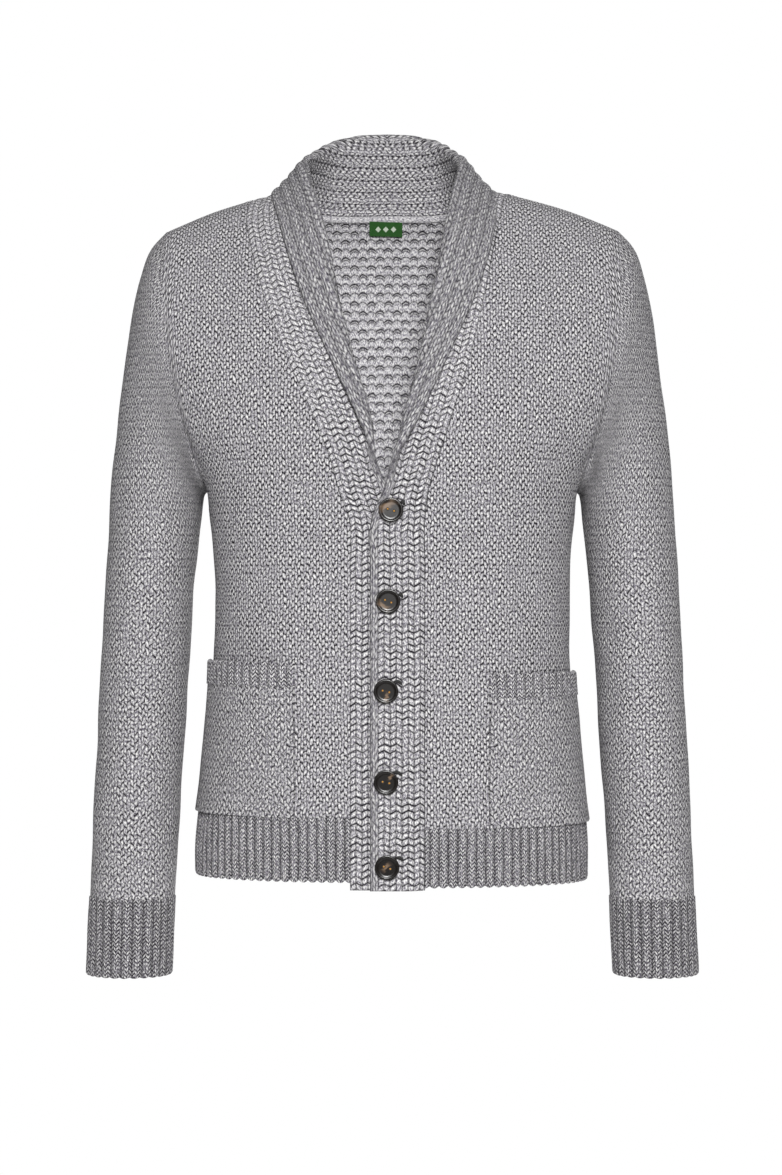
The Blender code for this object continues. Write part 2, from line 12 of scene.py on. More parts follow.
import logging
import math
from dataclasses import dataclass, field
from enum import Enum
from typing import Any, Callable, Optional, Sequence, Union

import bpy
import numpy as np
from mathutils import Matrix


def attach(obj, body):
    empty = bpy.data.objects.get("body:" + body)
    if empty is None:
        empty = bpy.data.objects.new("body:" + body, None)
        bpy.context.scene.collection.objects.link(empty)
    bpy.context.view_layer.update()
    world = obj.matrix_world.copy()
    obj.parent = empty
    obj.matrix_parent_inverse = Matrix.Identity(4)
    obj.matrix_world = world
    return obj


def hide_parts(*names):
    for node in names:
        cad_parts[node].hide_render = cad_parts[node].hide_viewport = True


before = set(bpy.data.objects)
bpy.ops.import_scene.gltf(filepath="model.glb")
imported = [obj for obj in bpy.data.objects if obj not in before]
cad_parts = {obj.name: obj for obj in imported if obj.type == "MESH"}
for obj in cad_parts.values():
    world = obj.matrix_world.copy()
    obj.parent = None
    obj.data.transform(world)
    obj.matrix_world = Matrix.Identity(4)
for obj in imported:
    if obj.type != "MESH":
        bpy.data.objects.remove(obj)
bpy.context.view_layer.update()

logging.basicConfig(level=logging.INFO, format="%(message)s")
LOG = logging.getLogger("cardigan")

MM = 0.001
Array = np.ndarray
Amount = Union[float, Array]
Colour = tuple[float, float, float, float]
Place = tuple[float, float, float]
Socket = bpy.types.NodeSocket
Signal = Union[Socket, float, tuple[float, ...], None]
Stops = Sequence[tuple[float, Colour]]

# Colour inputs of a Mix node come after its factors, numbers and vectors, and so does its colour output.
BEFORE_COLOURS = (None,) * 5
MIXED_COLOUR = 2

# Degrees between two faces past which an edge stays sharp, on cloth and on the small pieces.
SHARP_CLOTH = 62.0
SHARP_TRIM = 40.0


def linear(code: str) -> Colour:
    """Turn an sRGB colour into a linear one.

    Args:
        code: Hex code, with its "#".

    Returns:
        Linear red, green, blue and alpha.
    """
    parts = [int(code[i : i + 2], 16) / 255.0 for i in (1, 3, 5)]
    parts = [c / 12.92 if c <= 0.04045 else ((c + 0.055) / 1.055) ** 2.4 for c in parts]
    return (*parts, 1.0)


def mix(start: Amount, end: Amount, share: float) -> Amount:
    """Value a share of the way from start to end."""
    return start + (end - start) * share


def smooth_step(share: float) -> float:
    """Ease a share from 0 to 1 in and out."""
    share = min(max(share, 0.0), 1.0)
    return share * share * (3.0 - 2.0 * share)


def unit(vectors: Array) -> Array:
    """Vectors made one long, along the last axis."""
    lengths = np.linalg.norm(vectors, axis=-1, keepdims=True)
    return vectors / np.maximum(lengths, 1e-9)


def spline(values: Array, knots: Array, places: Array) -> Array:
    """Read values on a smooth curve that passes through each of them.

    Args:
        values: What is read, one entry per knot along the first axis.
        knots: Rising positions of the values.
        places: Positions to read at.

    Returns:
        One entry per place.
    """
    slopes = np.gradient(values, knots, axis=0)
    index = np.clip(np.searchsorted(knots, places, side="right") - 1, 0, len(knots) - 2)
    span = (knots[index + 1] - knots[index]).reshape((-1,) + (1,) * (values.ndim - 1))
    s = (places - knots[index]).reshape(span.shape) / span
    low = (2 * s**3 - 3 * s**2 + 1) * values[index] + (s**3 - 2 * s**2 + s) * span * slopes[index]
    high = (3 * s**2 - 2 * s**3) * values[index + 1] + (s**3 - s**2) * span * slopes[index + 1]
    return low + high


@dataclass(frozen=True)
class Table:
    """Measurements at a few keys, read on a smooth curve in between. The key comes first in each row."""

    rows: tuple[tuple[float, ...], ...]

    def slope(self, index: int, column: int) -> float:
        """Slope of a column at a row, taken from the rows on both sides of it.

        Args:
            index: Number of the row.
            column: Number of the column.

        Returns:
            Change of the column for each unit of the key.
        """
        low = self.rows[max(index - 1, 0)]
        high = self.rows[min(index + 1, len(self.rows) - 1)]
        return (high[column] - low[column]) / (high[0] - low[0])

    def at(self, key: float) -> tuple[float, ...]:
        """Measurements at any key.

        Args:
            key: Where to read. Past the first or last row, that row is read.

        Returns:
            One value for each column, without the key itself.
        """
        key = min(max(key, self.rows[0][0]), self.rows[-1][0])
        index = max(i for i in range(len(self.rows) - 1) if self.rows[i][0] <= key)
        low, high = self.rows[index], self.rows[index + 1]
        span = high[0] - low[0]
        s = (key - low[0]) / span
        values = []
        for column in range(1, len(low)):
            start = self.slope(index, column) * span
            end = self.slope(index + 1, column) * span
            values.append(
                low[column] * (2 * s**3 - 3 * s**2 + 1)
                + start * (s**3 - 2 * s**2 + s)
                + high[column] * (3 * s**2 - 2 * s**3)
                + end * (s**3 - s**2)
            )
        return tuple(values)


class Face(Enum):
    """Which face of the body a piece lies on, with the direction that it looks in along Y."""

    FRONT = -1.0
    BACK = 1.0


@dataclass(frozen=True)
class Side:
    """One of the wearer's sides, with the table of its front band.

    Band rows are level, seam, reach, turn and fall: where the front panel ends, how far the band lies
    flat from there, how far its fold turns it over and how much cloth is turned back.
    """

    name: str
    sign: float
    band: Table
    hem_levels: tuple[float, ...]
    panel_levels: tuple[float, ...]


LEFT = Side(
    "left",
    1.0,
    Table((
        (-376, 30.0, 36, 0, 2),
        (-71, 30.0, 36, 0, 2),
        (-31, 30.0, 35, 0, 2),
        (0, 34.0, 27, 20, 2),
        (24, 38.0, 30, 65, 3),
        (46, 48.0, 36, 150, 6),
        (68, 62.0, 38, 183, 15),
        (90, 79.0, 43, 184, 26),
        (112, 88.0, 41, 184, 38),
        (134, 98.0, 42, 184, 41),
        (156, 104.0, 43, 184, 42),
        (180, 107.0, 40, 180, 42),
    )),
    (-367, -340, -313),
    (-313, -276, -234, -194, -172, -121, -71, -31, 0),
)
RIGHT = Side(
    "right",
    -1.0,
    Table((
        (-376, 38.3, 36, 0, 2),
        (-71, 38.3, 36, 0, 2),
        (-31, 39.0, 36, 0, 2),
        (0, 50.0, 32, 2, 2),
        (24, 53.0, 29, 30, 2),
        (46, 63.0, 41, 145, 4),
        (68, 83.0, 50, 183, 12),
        (90, 105.0, 57, 184, 20),
        (112, 122.0, 62, 184, 31),
        (134, 133.0, 62, 184, 35),
        (156, 137.0, 62, 184, 35),
        (180, 131.0, 52, 180, 35),
    )),
    (-362, -333, -303),
    (-303, -263, -223, -183.5, -161.5, -116, -71, -31, 0),
)
SIDES = (LEFT, RIGHT)


@dataclass(frozen=True)
class Form:
    """Middle surface of the cloth, piece by piece, as grids of points in millimetres."""

    armpit_z: float = -264.0
    squareness: float = 2.35
    shoulder: float = 180.0
    armhole_levels: tuple[float, ...] = (26.0, 52.0, 78.0, 104.0, 127.0, 147.0, 164.0, 180.0)
    inner_cells: int = 3
    outer_cells: int = 5
    neck_shares: tuple[float, ...] = (0.0, 0.24, 0.45, 0.63, 0.82, 1.0)
    back_neck_level: float = 144.5
    neck_rise: float = 3.5
    pocket_edge_x: float = 88.0
    band_bottom: float = -370.0
    wall: float = 4.0
    layer_gap: float = 0.6
    front_fold: float = 12.0
    last_chest_level: float = 104.0
    stand_cells: int = 4
    fold_cells: int = 4
    fall_cells: int = 3
    lift_width: float = 14.0
    lift_ends: tuple[float, float] = (24.0, 68.0)
    droop: float = 0.0008

    # level, half width, depth of the front and of the back
    widths: Table = Table((
        (-376, 184.0, 108, 104),
        (-336, 184.0, 111, 106),
        (-296, 180.0, 114, 108),
        (-251, 175.0, 116, 109),
        (-206, 170.5, 117, 110),
        (-148, 167.0, 118, 110),
        (-86, 167.0, 119, 110.5),
        (-36, 170.0, 120, 112.5),
        (0, 175.0, 121, 115),
    ))
    # level, height and depth of the middle of the front and of the back, share of a quarter turn
    chest: Table = Table((
        (0, -264, 121, 115, 1.00),
        (24, -251, 122, 116, 0.93),
        (46, -220, 122, 118, 0.86),
        (68, -173, 117, 120, 0.80),
        (90, -118, 104, 119, 0.75),
        (112, -64, 80, 111, 0.72),
        (134, -17, 50, 94, 0.70),
        (156, 14, 24, 62, 0.70),
        (180, 27, 0, 0, 0.70),
    ))
    # outer x and z, inner x and z, depth, bow and centre y of each ring from the armhole to the wrist
    sleeve_rings: tuple[tuple[float, ...], ...] = (
        (213.0, -20, 175.0, -264, 62.0, 13, 0),
        (226.0, -34, 178.0, -266, 63.0, 9, 0),
        (237.0, -63, 180.0, -269, 63.0, 6, 0),
        (245.0, -99, 181.0, -273, 62.0, 3, 0),
        (251.0, -141, 182.0, -279, 61.0, 1, 0),
        (256.5, -184, 183.0, -288, 60.0, 0, 0),
        (261.5, -231, 184.5, -303, 58.5, 0, -1),
        (266.0, -290, 186.5, -327, 57.0, 0, -2),
        (269.5, -346, 189.5, -357, 56.0, 0, -4),
        (272.0, -402, 192.5, -405, 54.5, 0, -6),
        (275.0, -460, 196.0, -461, 52.0, 0, -8),
        (278.5, -532, 200.5, -532, 48.5, 0, -10),
        (282.0, -600, 205.0, -600, 44.5, 0, -11),
        (284.0, -648, 207.0, -648, 41.5, 0, -12),
    )
    cuff_rings: tuple[tuple[float, ...], ...] = (
        (284.0, -648, 207.0, -648, 41.5, 0, -12),
        (285.5, -685, 209.5, -685, 40.5, 0, -13),
        (286.5, -721, 211.0, -721, 40.0, 0, -14),
    )
    # place, roll x on the right and left, y, z, fold, turn, fall on the right and left, bulge
    shoulder_rolls: tuple[tuple[float, ...], ...] = (
        (127, 63, 50, -65, -23, 12, 184, 35, 41, 0.0),
        (147, 70, 55, -43, 2, 12, 184, 35, 42, -2.0),
        (164, 75, 59, -24, 20, 12, 184, 36, 42, -3.5),
        (180, 78, 62, -3, 34, 12, 183, 37, 42, -4.0),
    )
    back_rolls: tuple[tuple[float, ...], ...] = (
        (0.82, 78, 63, 28, 50, 15, 184, 41, 43, 0.0),
        (0.63, 70, 56, 56, 64, 16, 183, 54, 54, 0.0),
        (0.45, 56, 44, 79, 76, 19, 178, 68, 68, 3.0),
        (0.24, 34, 24, 93, 84, 20, 175, 76, 76, 3.0),
        (0.0, 4, -4, 98, 86.5, 20, 174, 78, 78, 3.0),
    )

    def ring_point(self, ring: Sequence[float], angle: float, face: Face) -> Array:
        """Point of a sleeve ring.

        Args:
            ring: Row of the ring in the table.
            angle: -90 degrees at the underarm, 90 at the outer side.
            face: Face by way of which the angle is counted.

        Returns:
            The point, for the wearer's left sleeve.
        """
        outer_x, outer_z, inner_x, inner_z, depth, bow, centre_y = ring
        turn = math.radians(angle)
        outer = np.array((outer_x, centre_y, outer_z))
        inner = np.array((inner_x, centre_y, inner_z))
        half = (outer - inner) / 2
        away = unit(np.array((half[2], 0.0, -half[0])))
        point = (outer + inner) / 2 + half * math.sin(turn) + away * bow * math.cos(turn) ** 2
        return point + np.array((0.0, face.value * depth * math.cos(turn), 0.0))

    def section(self, level: float, face: Face) -> tuple[Array, Array, float]:
        """Section of the body at a level, on the wearer's left half.

        Args:
            level: Level of the section.
            face: Front or back.

        Returns:
            Point on the centre line, point at the edge, and roundness from 0 to 1.
        """
        if level <= 0.0:
            half_width, front, back = self.widths.at(level)
            depth = front if face is Face.FRONT else back
            height = self.armpit_z + level
            return np.array((0.0, face.value * depth, height)), np.array((half_width, 0.0, height)), 1.0
        height, front, back, roundness = self.chest.at(level)
        depth = front if face is Face.FRONT else back
        centre = np.array((0.0, face.value * depth, height))
        return centre, self.ring_point(self.sleeve_rings[0], level - 90.0, face), roundness

    def point(self, face: Face, level: float, x: float) -> Array:
        """Point of the body's middle surface.

        Args:
            face: Front or back.
            level: Level of the point.
            x: Its distance from the centre line, towards the wearer's left.

        Returns:
            The point.
        """
        centre, edge, roundness = self.section(level, face)
        share = min(abs(x) / edge[0], 1.0)
        power = 1.0 / self.squareness
        whole = 1.0 - (1.0 - roundness) ** power
        gone = 1.0 - (1.0 - roundness * share**self.squareness) ** power
        return np.array((x, mix(centre[1], edge[1], gone / whole), mix(centre[2], edge[2], share**2)))

    def normal(self, face: Face, level: float, x: float) -> Array:
        """Outward direction of the body's middle surface.

        Args:
            face: Front or back.
            level: Level of the place.
            x: Its distance from the centre line, towards the wearer's left.

        Returns:
            A direction one long.
        """
        across = self.point(face, level, x + 1.0) - self.point(face, level, x - 1.0)
        upper = min(level + 1.0, self.shoulder)
        up = self.point(face, upper, x) - self.point(face, upper - 2.0, x)
        normal = unit(np.cross(across, up))
        return normal if normal @ np.array((0.0, face.value, 1.0)) > 0.0 else -normal

    def side_share(self, angle: float) -> float:
        """Share of the half width at an angle round a section."""
        return math.sin(angle) ** (2.0 / self.squareness)

    def front_row(self, side: Side, level: float) -> list[Array]:
        """Points across a front panel.

        Args:
            side: The wearer's side.
            level: Level of the row.

        Returns:
            Points from the band seam to the side seam or armhole.
        """
        edge_x = self.section(level, Face.FRONT)[1][0]
        seam = side.band.at(level)[0]
        rise = smooth_step(level / self.shoulder)
        cells = self.inner_cells + self.outer_cells
        pocket = math.asin((self.pocket_edge_x / edge_x) ** (self.squareness / 2.0))
        row = []
        for i in range(cells + 1):
            if i <= self.inner_cells:
                low = mix(seam, self.pocket_edge_x, i / self.inner_cells)
            else:
                outer = (i - self.inner_cells) / self.outer_cells
                low = edge_x * self.side_share(mix(pocket, math.pi / 2, outer))
            x = mix(low, mix(seam, edge_x, i / cells), rise)
            row.append(self.point(Face.FRONT, level, side.sign * x))
        return row

    def neck_level(self, share: float) -> float:
        """Level of the back neck seam at a share of the way from the centre back to the shoulder."""
        return mix(self.back_neck_level, self.shoulder, min(share, 1.0) ** self.neck_rise)

    def back_columns(self) -> list[tuple[Side, int]]:
        """Side and number of each column across the back, from the wearer's left to the right."""
        count = len(self.neck_shares) - 1 + self.inner_cells + self.outer_cells
        return [(LEFT, i) for i in range(count, -1, -1)] + [(RIGHT, i) for i in range(1, count + 1)]

    def back_low(self, side: Side, column: int, right: float, left: float) -> Array:
        """Point of the back below the armpit. Its height eases from one side's row to the other's.

        Args:
            side: The wearer's side.
            column: Number of the column, from the centre line.
            right: Level of the row at the wearer's right side seam.
            left: Level at the left side seam.

        Returns:
            The point.
        """
        count = len(self.back_columns()) // 2
        share = self.side_share(math.pi / 2 * column / count)
        level = mix(right, left, (1.0 + side.sign * share) / 2.0)
        edge_x = self.section(level, Face.BACK)[1][0]
        return self.point(Face.BACK, level, side.sign * share * edge_x)

    def back_high(self, side: Side, column: int, level: float) -> Array:
        """Point of the back above the armpit. Rows close up towards the neck and shoulder seams.

        Args:
            side: The wearer's side.
            column: Number of the column, from the centre line.
            level: Level of the row at the armhole.

        Returns:
            The point.
        """
        neck_cells = len(self.neck_shares) - 1
        count = len(self.back_columns()) // 2
        shoulder_x = side.band.rows[-1][1]
        top = self.neck_level(self.neck_shares[column]) if column < neck_cells else self.shoulder
        at = level * top / self.shoulder
        edge_x = self.section(at, Face.BACK)[1][0]
        low = self.side_share(math.pi / 2 * column / count)
        if column <= neck_cells:
            high = shoulder_x * self.neck_shares[column] / edge_x
        else:
            high = mix(shoulder_x / edge_x, 1.0, (column - neck_cells) / (count - neck_cells))
        share = mix(low, high, smooth_step(level / self.shoulder))
        return self.point(Face.BACK, at, side.sign * share * edge_x)

    def neck_point(self, side: Side, share: float) -> Array:
        """Point of the back neck seam."""
        x = side.sign * side.band.rows[-1][1] * share
        return self.point(Face.BACK, self.neck_level(share), x)

    def front(self, side: Side) -> Array:
        """Grid of a front panel, from the hem rib to the shoulder seam."""
        return np.array([self.front_row(side, level) for level in side.panel_levels + self.armhole_levels])

    def front_hem(self, side: Side) -> Array:
        """Grid of a front hem rib."""
        return np.array([self.front_row(side, level) for level in side.hem_levels])

    def back(self) -> Array:
        """Grid of the back panel.

        Returns:
            Rows from the hem rib to the neck and shoulder seams.
        """
        columns = self.back_columns()
        pairs = zip(RIGHT.panel_levels, LEFT.panel_levels)
        rows = [[self.back_low(side, i, right, left) for side, i in columns] for right, left in pairs]
        rows += [[self.back_high(side, i, level) for side, i in columns] for level in self.armhole_levels]
        return np.array(rows)

    def back_hem(self) -> Array:
        """Grid of the back hem rib.

        Returns:
            Rows from the lower border to the back panel.
        """
        columns = self.back_columns()
        pairs = zip(RIGHT.hem_levels, LEFT.hem_levels)
        rows = [[self.back_low(side, i, right, left) for side, i in columns] for right, left in pairs]
        return np.array(rows)

    def tube(self, rings: Sequence[Sequence[float]], side: Side) -> Array:
        """Grid of a sleeve or cuff.

        Args:
            rings: Rows of its table.
            side: The wearer's side.

        Returns:
            A row for each ring, from the underarm round by way of the front.
        """
        front = [-90.0] + [level - 90.0 for level in self.armhole_levels]
        around = [(angle, Face.FRONT) for angle in front]
        around += [(angle, Face.BACK) for angle in reversed(front[1:-1])]
        points = np.array([[self.ring_point(ring, angle, face) for angle, face in around] for ring in rings])
        points[..., 0] *= side.sign
        return points

    def rolled(
        self, base: list[Array], normal: Array, fold: float, turn: float, fall: float, droop: float
    ) -> list[Array]:
        """Carry a crossing of the band on through its fold and along its fall.

        Args:
            base: Points of the crossing up to the fold.
            normal: Direction that the fold turns towards.
            fold: Length of the cloth in the fold.
            turn: Degrees that it turns through.
            fall: Length of the cloth past it.
            droop: How much the fall bends back down, for each square millimetre.

        Returns:
            Points of the whole crossing.
        """
        start = base[-1]
        ahead = unit(base[-1] - base[-2])
        normal = unit(normal - ahead * (normal @ ahead))
        turn = math.radians(turn)
        points = list(base)
        for i in range(1, self.fold_cells + 1):
            angle = turn * i / self.fold_cells
            if angle < 1e-3:
                points.append(start + ahead * fold * i / self.fold_cells)
                continue
            points.append(start + (ahead * math.sin(angle) + normal * (1.0 - math.cos(angle))) * fold / turn)
        end = points[-1]
        heading = ahead * math.cos(turn) + normal * math.sin(turn)
        for i in range(1, self.fall_cells + 1):
            length = fall * i / self.fall_cells
            points.append(end + heading * length - normal * droop * length**2)
        return points

    def band_row(self, side: Side, level: float) -> list[Array]:
        """One crossing of the band on the chest. The wearer's left band lies over the right.

        Args:
            side: The wearer's side.
            level: Level of the crossing.

        Returns:
            Points from the band seam to the free edge.
        """
        seam, reach, turn, fall = side.band.at(level)
        lift = 0.0
        if side is LEFT:
            low, high = self.lift_ends
            lift = (self.wall + self.layer_gap) * (1.0 - smooth_step((level - low) / (high - low)))
        base = []
        for i in range(self.stand_cells + 1):
            gone = reach * i / self.stand_cells
            x = side.sign * (seam - gone)
            normal = self.normal(Face.FRONT, level, x)
            raised = lift * smooth_step(gone / self.lift_width)
            base.append(self.point(Face.FRONT, level, x) + normal * raised)
        return self.rolled(base, normal, self.front_fold, turn, fall, self.droop)

    def roll_row(self, side: Side, roll: Sequence[float], seam: Array, normal: Array) -> list[Array]:
        """One crossing of the collar where it stands off the body.

        Args:
            side: The wearer's side.
            roll: Row of the table of rolls.
            seam: Point where the collar leaves the body.
            normal: Outward direction there.

        Returns:
            Points from the seam over the roll to the free edge.
        """
        right_x, left_x, y, z, fold, turn, right_fall, left_fall, bulge = roll[1:]
        top = np.array((left_x if side is LEFT else -right_x, y, z))
        ahead = unit(top - seam)
        end = top - ahead * fold / math.radians(turn)
        out = unit(normal - ahead * (normal @ ahead))
        base = []
        for i in range(self.stand_cells + 1):
            share = i / self.stand_cells
            base.append(mix(seam, end, share) + out * bulge * 4.0 * share * (1.0 - share))
        # The last step before the fold is evened out, so that the bulge doesn't end in a corner.
        base[-2] = mix(base[-2], mix(base[-3], base[-1], 0.5), 0.5)
        return self.rolled(base, normal, fold, turn, left_fall if side is LEFT else right_fall, 0.0)

    def band_collar(self, side: Side) -> Array:
        """Grid of a front band with its collar half.

        Args:
            side: The wearer's side.

        Returns:
            Crossings from the hem to the seam at the centre back.
        """
        levels = (self.band_bottom,) + side.hem_levels[:-1] + side.panel_levels
        levels += tuple(level for level in self.armhole_levels if level <= self.last_chest_level)
        rows = [self.band_row(side, level) for level in levels]
        for roll in self.shoulder_rolls:
            seam_x = side.sign * side.band.at(roll[0])[0]
            seam = self.point(Face.FRONT, roll[0], seam_x)
            rows.append(self.roll_row(side, roll, seam, self.normal(Face.FRONT, roll[0], seam_x)))
        for roll in self.back_rolls:
            seam = self.neck_point(side, roll[0])
            normal = self.normal(Face.BACK, self.neck_level(roll[0]), seam[0])
            rows.append(self.roll_row(side, roll, seam, normal))
        return np.array(rows)


FORM = Form()


class Wales(Enum):
    """Where the knit's columns are counted from on a piece."""

    CENTRE_LINE = "the garment's centre line"
    OUTER_LINE = "the line down the outer side of a sleeve"
    BAND_SEAM = "the seam of the band, and its free edge on the turned-back part"


@dataclass
class Panel:
    """A knitted piece's coarse grid and what is needed to refine it."""

    name: str
    group: str
    points: Array
    wales: Wales
    flip: bool = False
    tube: bool = False
    free_start: bool = False
    free_end: bool = False
    free_edge: bool = False
    normals: Array = field(default_factory=lambda: np.zeros(0))

    def find_normals(self) -> None:
        """Outward directions at the grid's points, from the neighbouring points."""
        points = self.points
        if self.tube:
            across = np.roll(points, -1, axis=1) - np.roll(points, 1, axis=1)
        else:
            wide = np.concatenate([points[:, :1], points, points[:, -1:]], axis=1)
            across = wide[:, 2:] - wide[:, :-2]
        tall = np.concatenate([points[:1], points, points[-1:]], axis=0)
        normals = unit(np.cross(across, tall[2:] - tall[:-2]))
        self.normals = -normals if self.flip else normals


def share_seam_normals(panels: Sequence[Panel]) -> None:
    """Give panels that meet at a point one wall direction there.

    Args:
        panels: All the panels. Their normals are changed.
    """
    meeting: dict[tuple, dict[str, Array]] = {}
    for panel in panels:
        for point, normal in zip(panel.points.reshape(-1, 3), panel.normals.reshape(-1, 3)):
            groups = meeting.setdefault(tuple(np.round(point, 2) + 0.0), {})
            groups[panel.group] = groups.get(panel.group, np.zeros(3)) + normal
    for panel in panels:
        rows, columns = panel.points.shape[:2]
        for i in range(rows):
            for j in range(columns):
                groups = meeting[tuple(np.round(panel.points[i, j], 2) + 0.0)]
                panel.normals[i, j] = unit(sum(unit(group) for group in groups.values()))


@dataclass
class Weave:
    """Fine grid of a piece: middle points, wall directions, and U and V in millimetres."""

    points: Array
    normals: Array
    u: Array
    v: Array
    split: Optional[int]
    u_fall: Array


def lengths(points: Array, axis: int, keep: Sequence[int] = (0, 1, 2)) -> Array:
    """Distance gone along an axis of a grid of points.

    Args:
        points: The grid.
        axis: Axis to go along.
        keep: Coordinates that count.

    Returns:
        Millimetres from the start of the axis, at each point.
    """
    steps = np.linalg.norm(np.diff(points[..., list(keep)], axis=axis), axis=-1)
    start = np.zeros_like(np.take(steps, [0], axis=axis))
    return np.concatenate([start, np.cumsum(steps, axis=axis)], axis=axis)


def places(total: float, step: float, round_start: bool, round_end: bool) -> Array:
    """Positions along a length, with a few closer ones where a border is rounded.

    Args:
        total: The length.
        step: Usual distance between two positions.
        round_start: Whether the border at the start is rounded.
        round_end: Whether the one at the end is.

    Returns:
        Rising positions.
    """
    even = np.linspace(0.0, total, max(int(round(total / step)), 2) + 1)
    close = np.array((0.35, 0.9, 1.7))
    extra = [close] if round_start else []
    if round_end:
        extra.append(total - close)
    return np.unique(np.concatenate([even] + extra))


def refine(panel: Panel, across: float, along: float) -> Weave:
    """Refine a panel's grid and lay the knit's coordinates on it.

    Args:
        panel: The panel, with its shared normals.
        across: Step across the wales in millimetres.
        along: Step along the wales in millimetres.

    Returns:
        The fine grid. A tube's last column repeats its first.
    """
    data = np.concatenate([panel.points, panel.normals], axis=-1)
    if panel.tube:
        data = np.concatenate([data[:, -3:], data, data[:, :4]], axis=1)
    knots = lengths(data[..., :3], 1).mean(axis=0)
    if panel.tube:
        low, high = knots[3], knots[-4]
        fine = np.linspace(low, high, int(round((high - low) / across)) + 1)
    else:
        fine = places(knots[-1], across, False, panel.free_edge)
    data = spline(np.swapaxes(data, 0, 1), knots, fine)
    rows = lengths(panel.points, 0).mean(axis=1)
    upright = places(rows[-1], along, panel.free_start, panel.free_end)
    data = spline(np.swapaxes(data, 0, 1), rows, upright)
    points, normals = data[..., :3], unit(data[..., 3:])
    gone = lengths(points, 1)
    split = None
    u_fall = gone
    if panel.wales is Wales.CENTRE_LINE:
        from_centre = np.abs(points[0, :, 0])
        nearest = int(np.argmin(from_centre))
        u = gone - gone[:, [nearest]] + np.abs(points[:, :1, 0]) * (from_centre.min() > 1.0)
        v = lengths(points, 0, (1, 2)) + points[:1, :, 2]
    elif panel.wales is Wales.OUTER_LINE:
        u = gone - gone[:, [gone.shape[1] // 2]]
        v = lengths(points[::-1], 0)[::-1]
    else:
        u = gone
        v = lengths(points, 0)
        fold_middle = knots[FORM.stand_cells + FORM.fold_cells // 2]
        split = int(np.searchsorted(fine, fold_middle))
        u_fall = gone[:, -1:] - gone
    return Weave(points, normals, u, v, split, u_fall)


Relief = Callable[[Array], Array]

# Length in millimetres of each kind of hill in the cloth, and its share of the height.
HILLS = ((150.0, 0.5), (85.0, 0.3), (46.0, 0.2))


def uneven(points: Array, amount: float, seed: int) -> Array:
    """Gentle hills and hollows of cloth that isn't under tension.

    Args:
        points: Places in millimetres.
        amount: Largest height in millimetres.
        seed: Picks the pattern.

    Returns:
        A height at each place.
    """
    chance = np.random.default_rng(seed)
    total = np.zeros(points.shape[:-1])
    for length, share in HILLS:
        for _ in range(3):
            wave = chance.normal(size=3)
            wave = wave / np.linalg.norm(wave) * 2.0 * math.pi / length
            total += np.sin(points @ wave + chance.uniform(0.0, 2.0 * math.pi)) * share / 2.0
    return total * amount


@dataclass(frozen=True)
class Crease:
    """Soft trough or ridge of the cloth between two places, in millimetres. A trough's depth is below 0.

    Fade is the share of its length over which it grows before the start and again after it.
    """

    start: Place
    end: Place
    width: float
    depth: float
    fade: float = 0.25

    def height(self, points: Array) -> Array:
        """Height that the crease adds. It dies away at both ends.

        Args:
            points: Places in millimetres.

        Returns:
            A height at each place.
        """
        start, end = np.array(self.start), np.array(self.end)
        line = end - start
        share = ((points - start) @ line) / (line @ line)
        off = points - start - np.clip(share, 0.0, 1.0)[..., None] * line
        distance = np.linalg.norm(off, axis=-1)
        inside = np.minimum(share + self.fade, 1.0 + self.fade - share)
        along = np.clip(inside / (2.0 * self.fade), 0.0, 1.0)
        return self.depth * np.exp(-((distance / self.width) ** 2)) * along * along * (3.0 - 2.0 * along)


def mirrored(creases: Sequence[Crease]) -> list[Crease]:
    """The same creases on the other side of the garment, a little weaker and tilted.

    Args:
        creases: Creases on the wearer's left.

    Returns:
        Those on the right.
    """
    made = []
    for crease in creases:
        start = (-crease.start[0], crease.start[1], crease.start[2] - 7.0)
        end = (-crease.end[0], crease.end[1], crease.end[2] + 5.0)
        made.append(Crease(start, end, crease.width, crease.depth * 0.85))
    return made


LEFT_CREASES = (
    Crease((196, -46, -150), (180, -40, -262), 9.0, -3.4),
    Crease((196, 46, -150), (180, 40, -262), 9.0, -3.4),
    Crease((176, -62, -268), (120, -112, -240), 13.0, -1.7),
    Crease((176, 62, -268), (120, 112, -235), 13.0, -1.7),
    Crease((188, -40, -352), (240, -58, -330), 11.0, -1.8),
    Crease((190, -44, -398), (252, -60, -420), 13.0, -2.2),
    Crease((196, -42, -470), (262, -52, -452), 12.0, -1.8),
    Crease((204, -40, -560), (268, -46, -585), 12.0, -1.6),
    Crease((190, 44, -380), (258, 52, -360), 14.0, -1.8),
    Crease((270, 20, -440), (214, 46, -470), 14.0, -1.6),
    Crease((206, -34, -628), (276, -40, -640), 10.0, 1.6),
    Crease((60, -116, -520), (150, -92, -560), 20.0, -1.4),
    Crease((120, 98, -420), (20, 112, -455), 26.0, -2.2),
    Crease((150, 80, -560), (30, 112, -590), 24.0, -1.8),
    Crease((175, -52, -570), (60, -120, -566), 12.0, 1.2),
)
CREASES = LEFT_CREASES + tuple(mirrored(LEFT_CREASES))


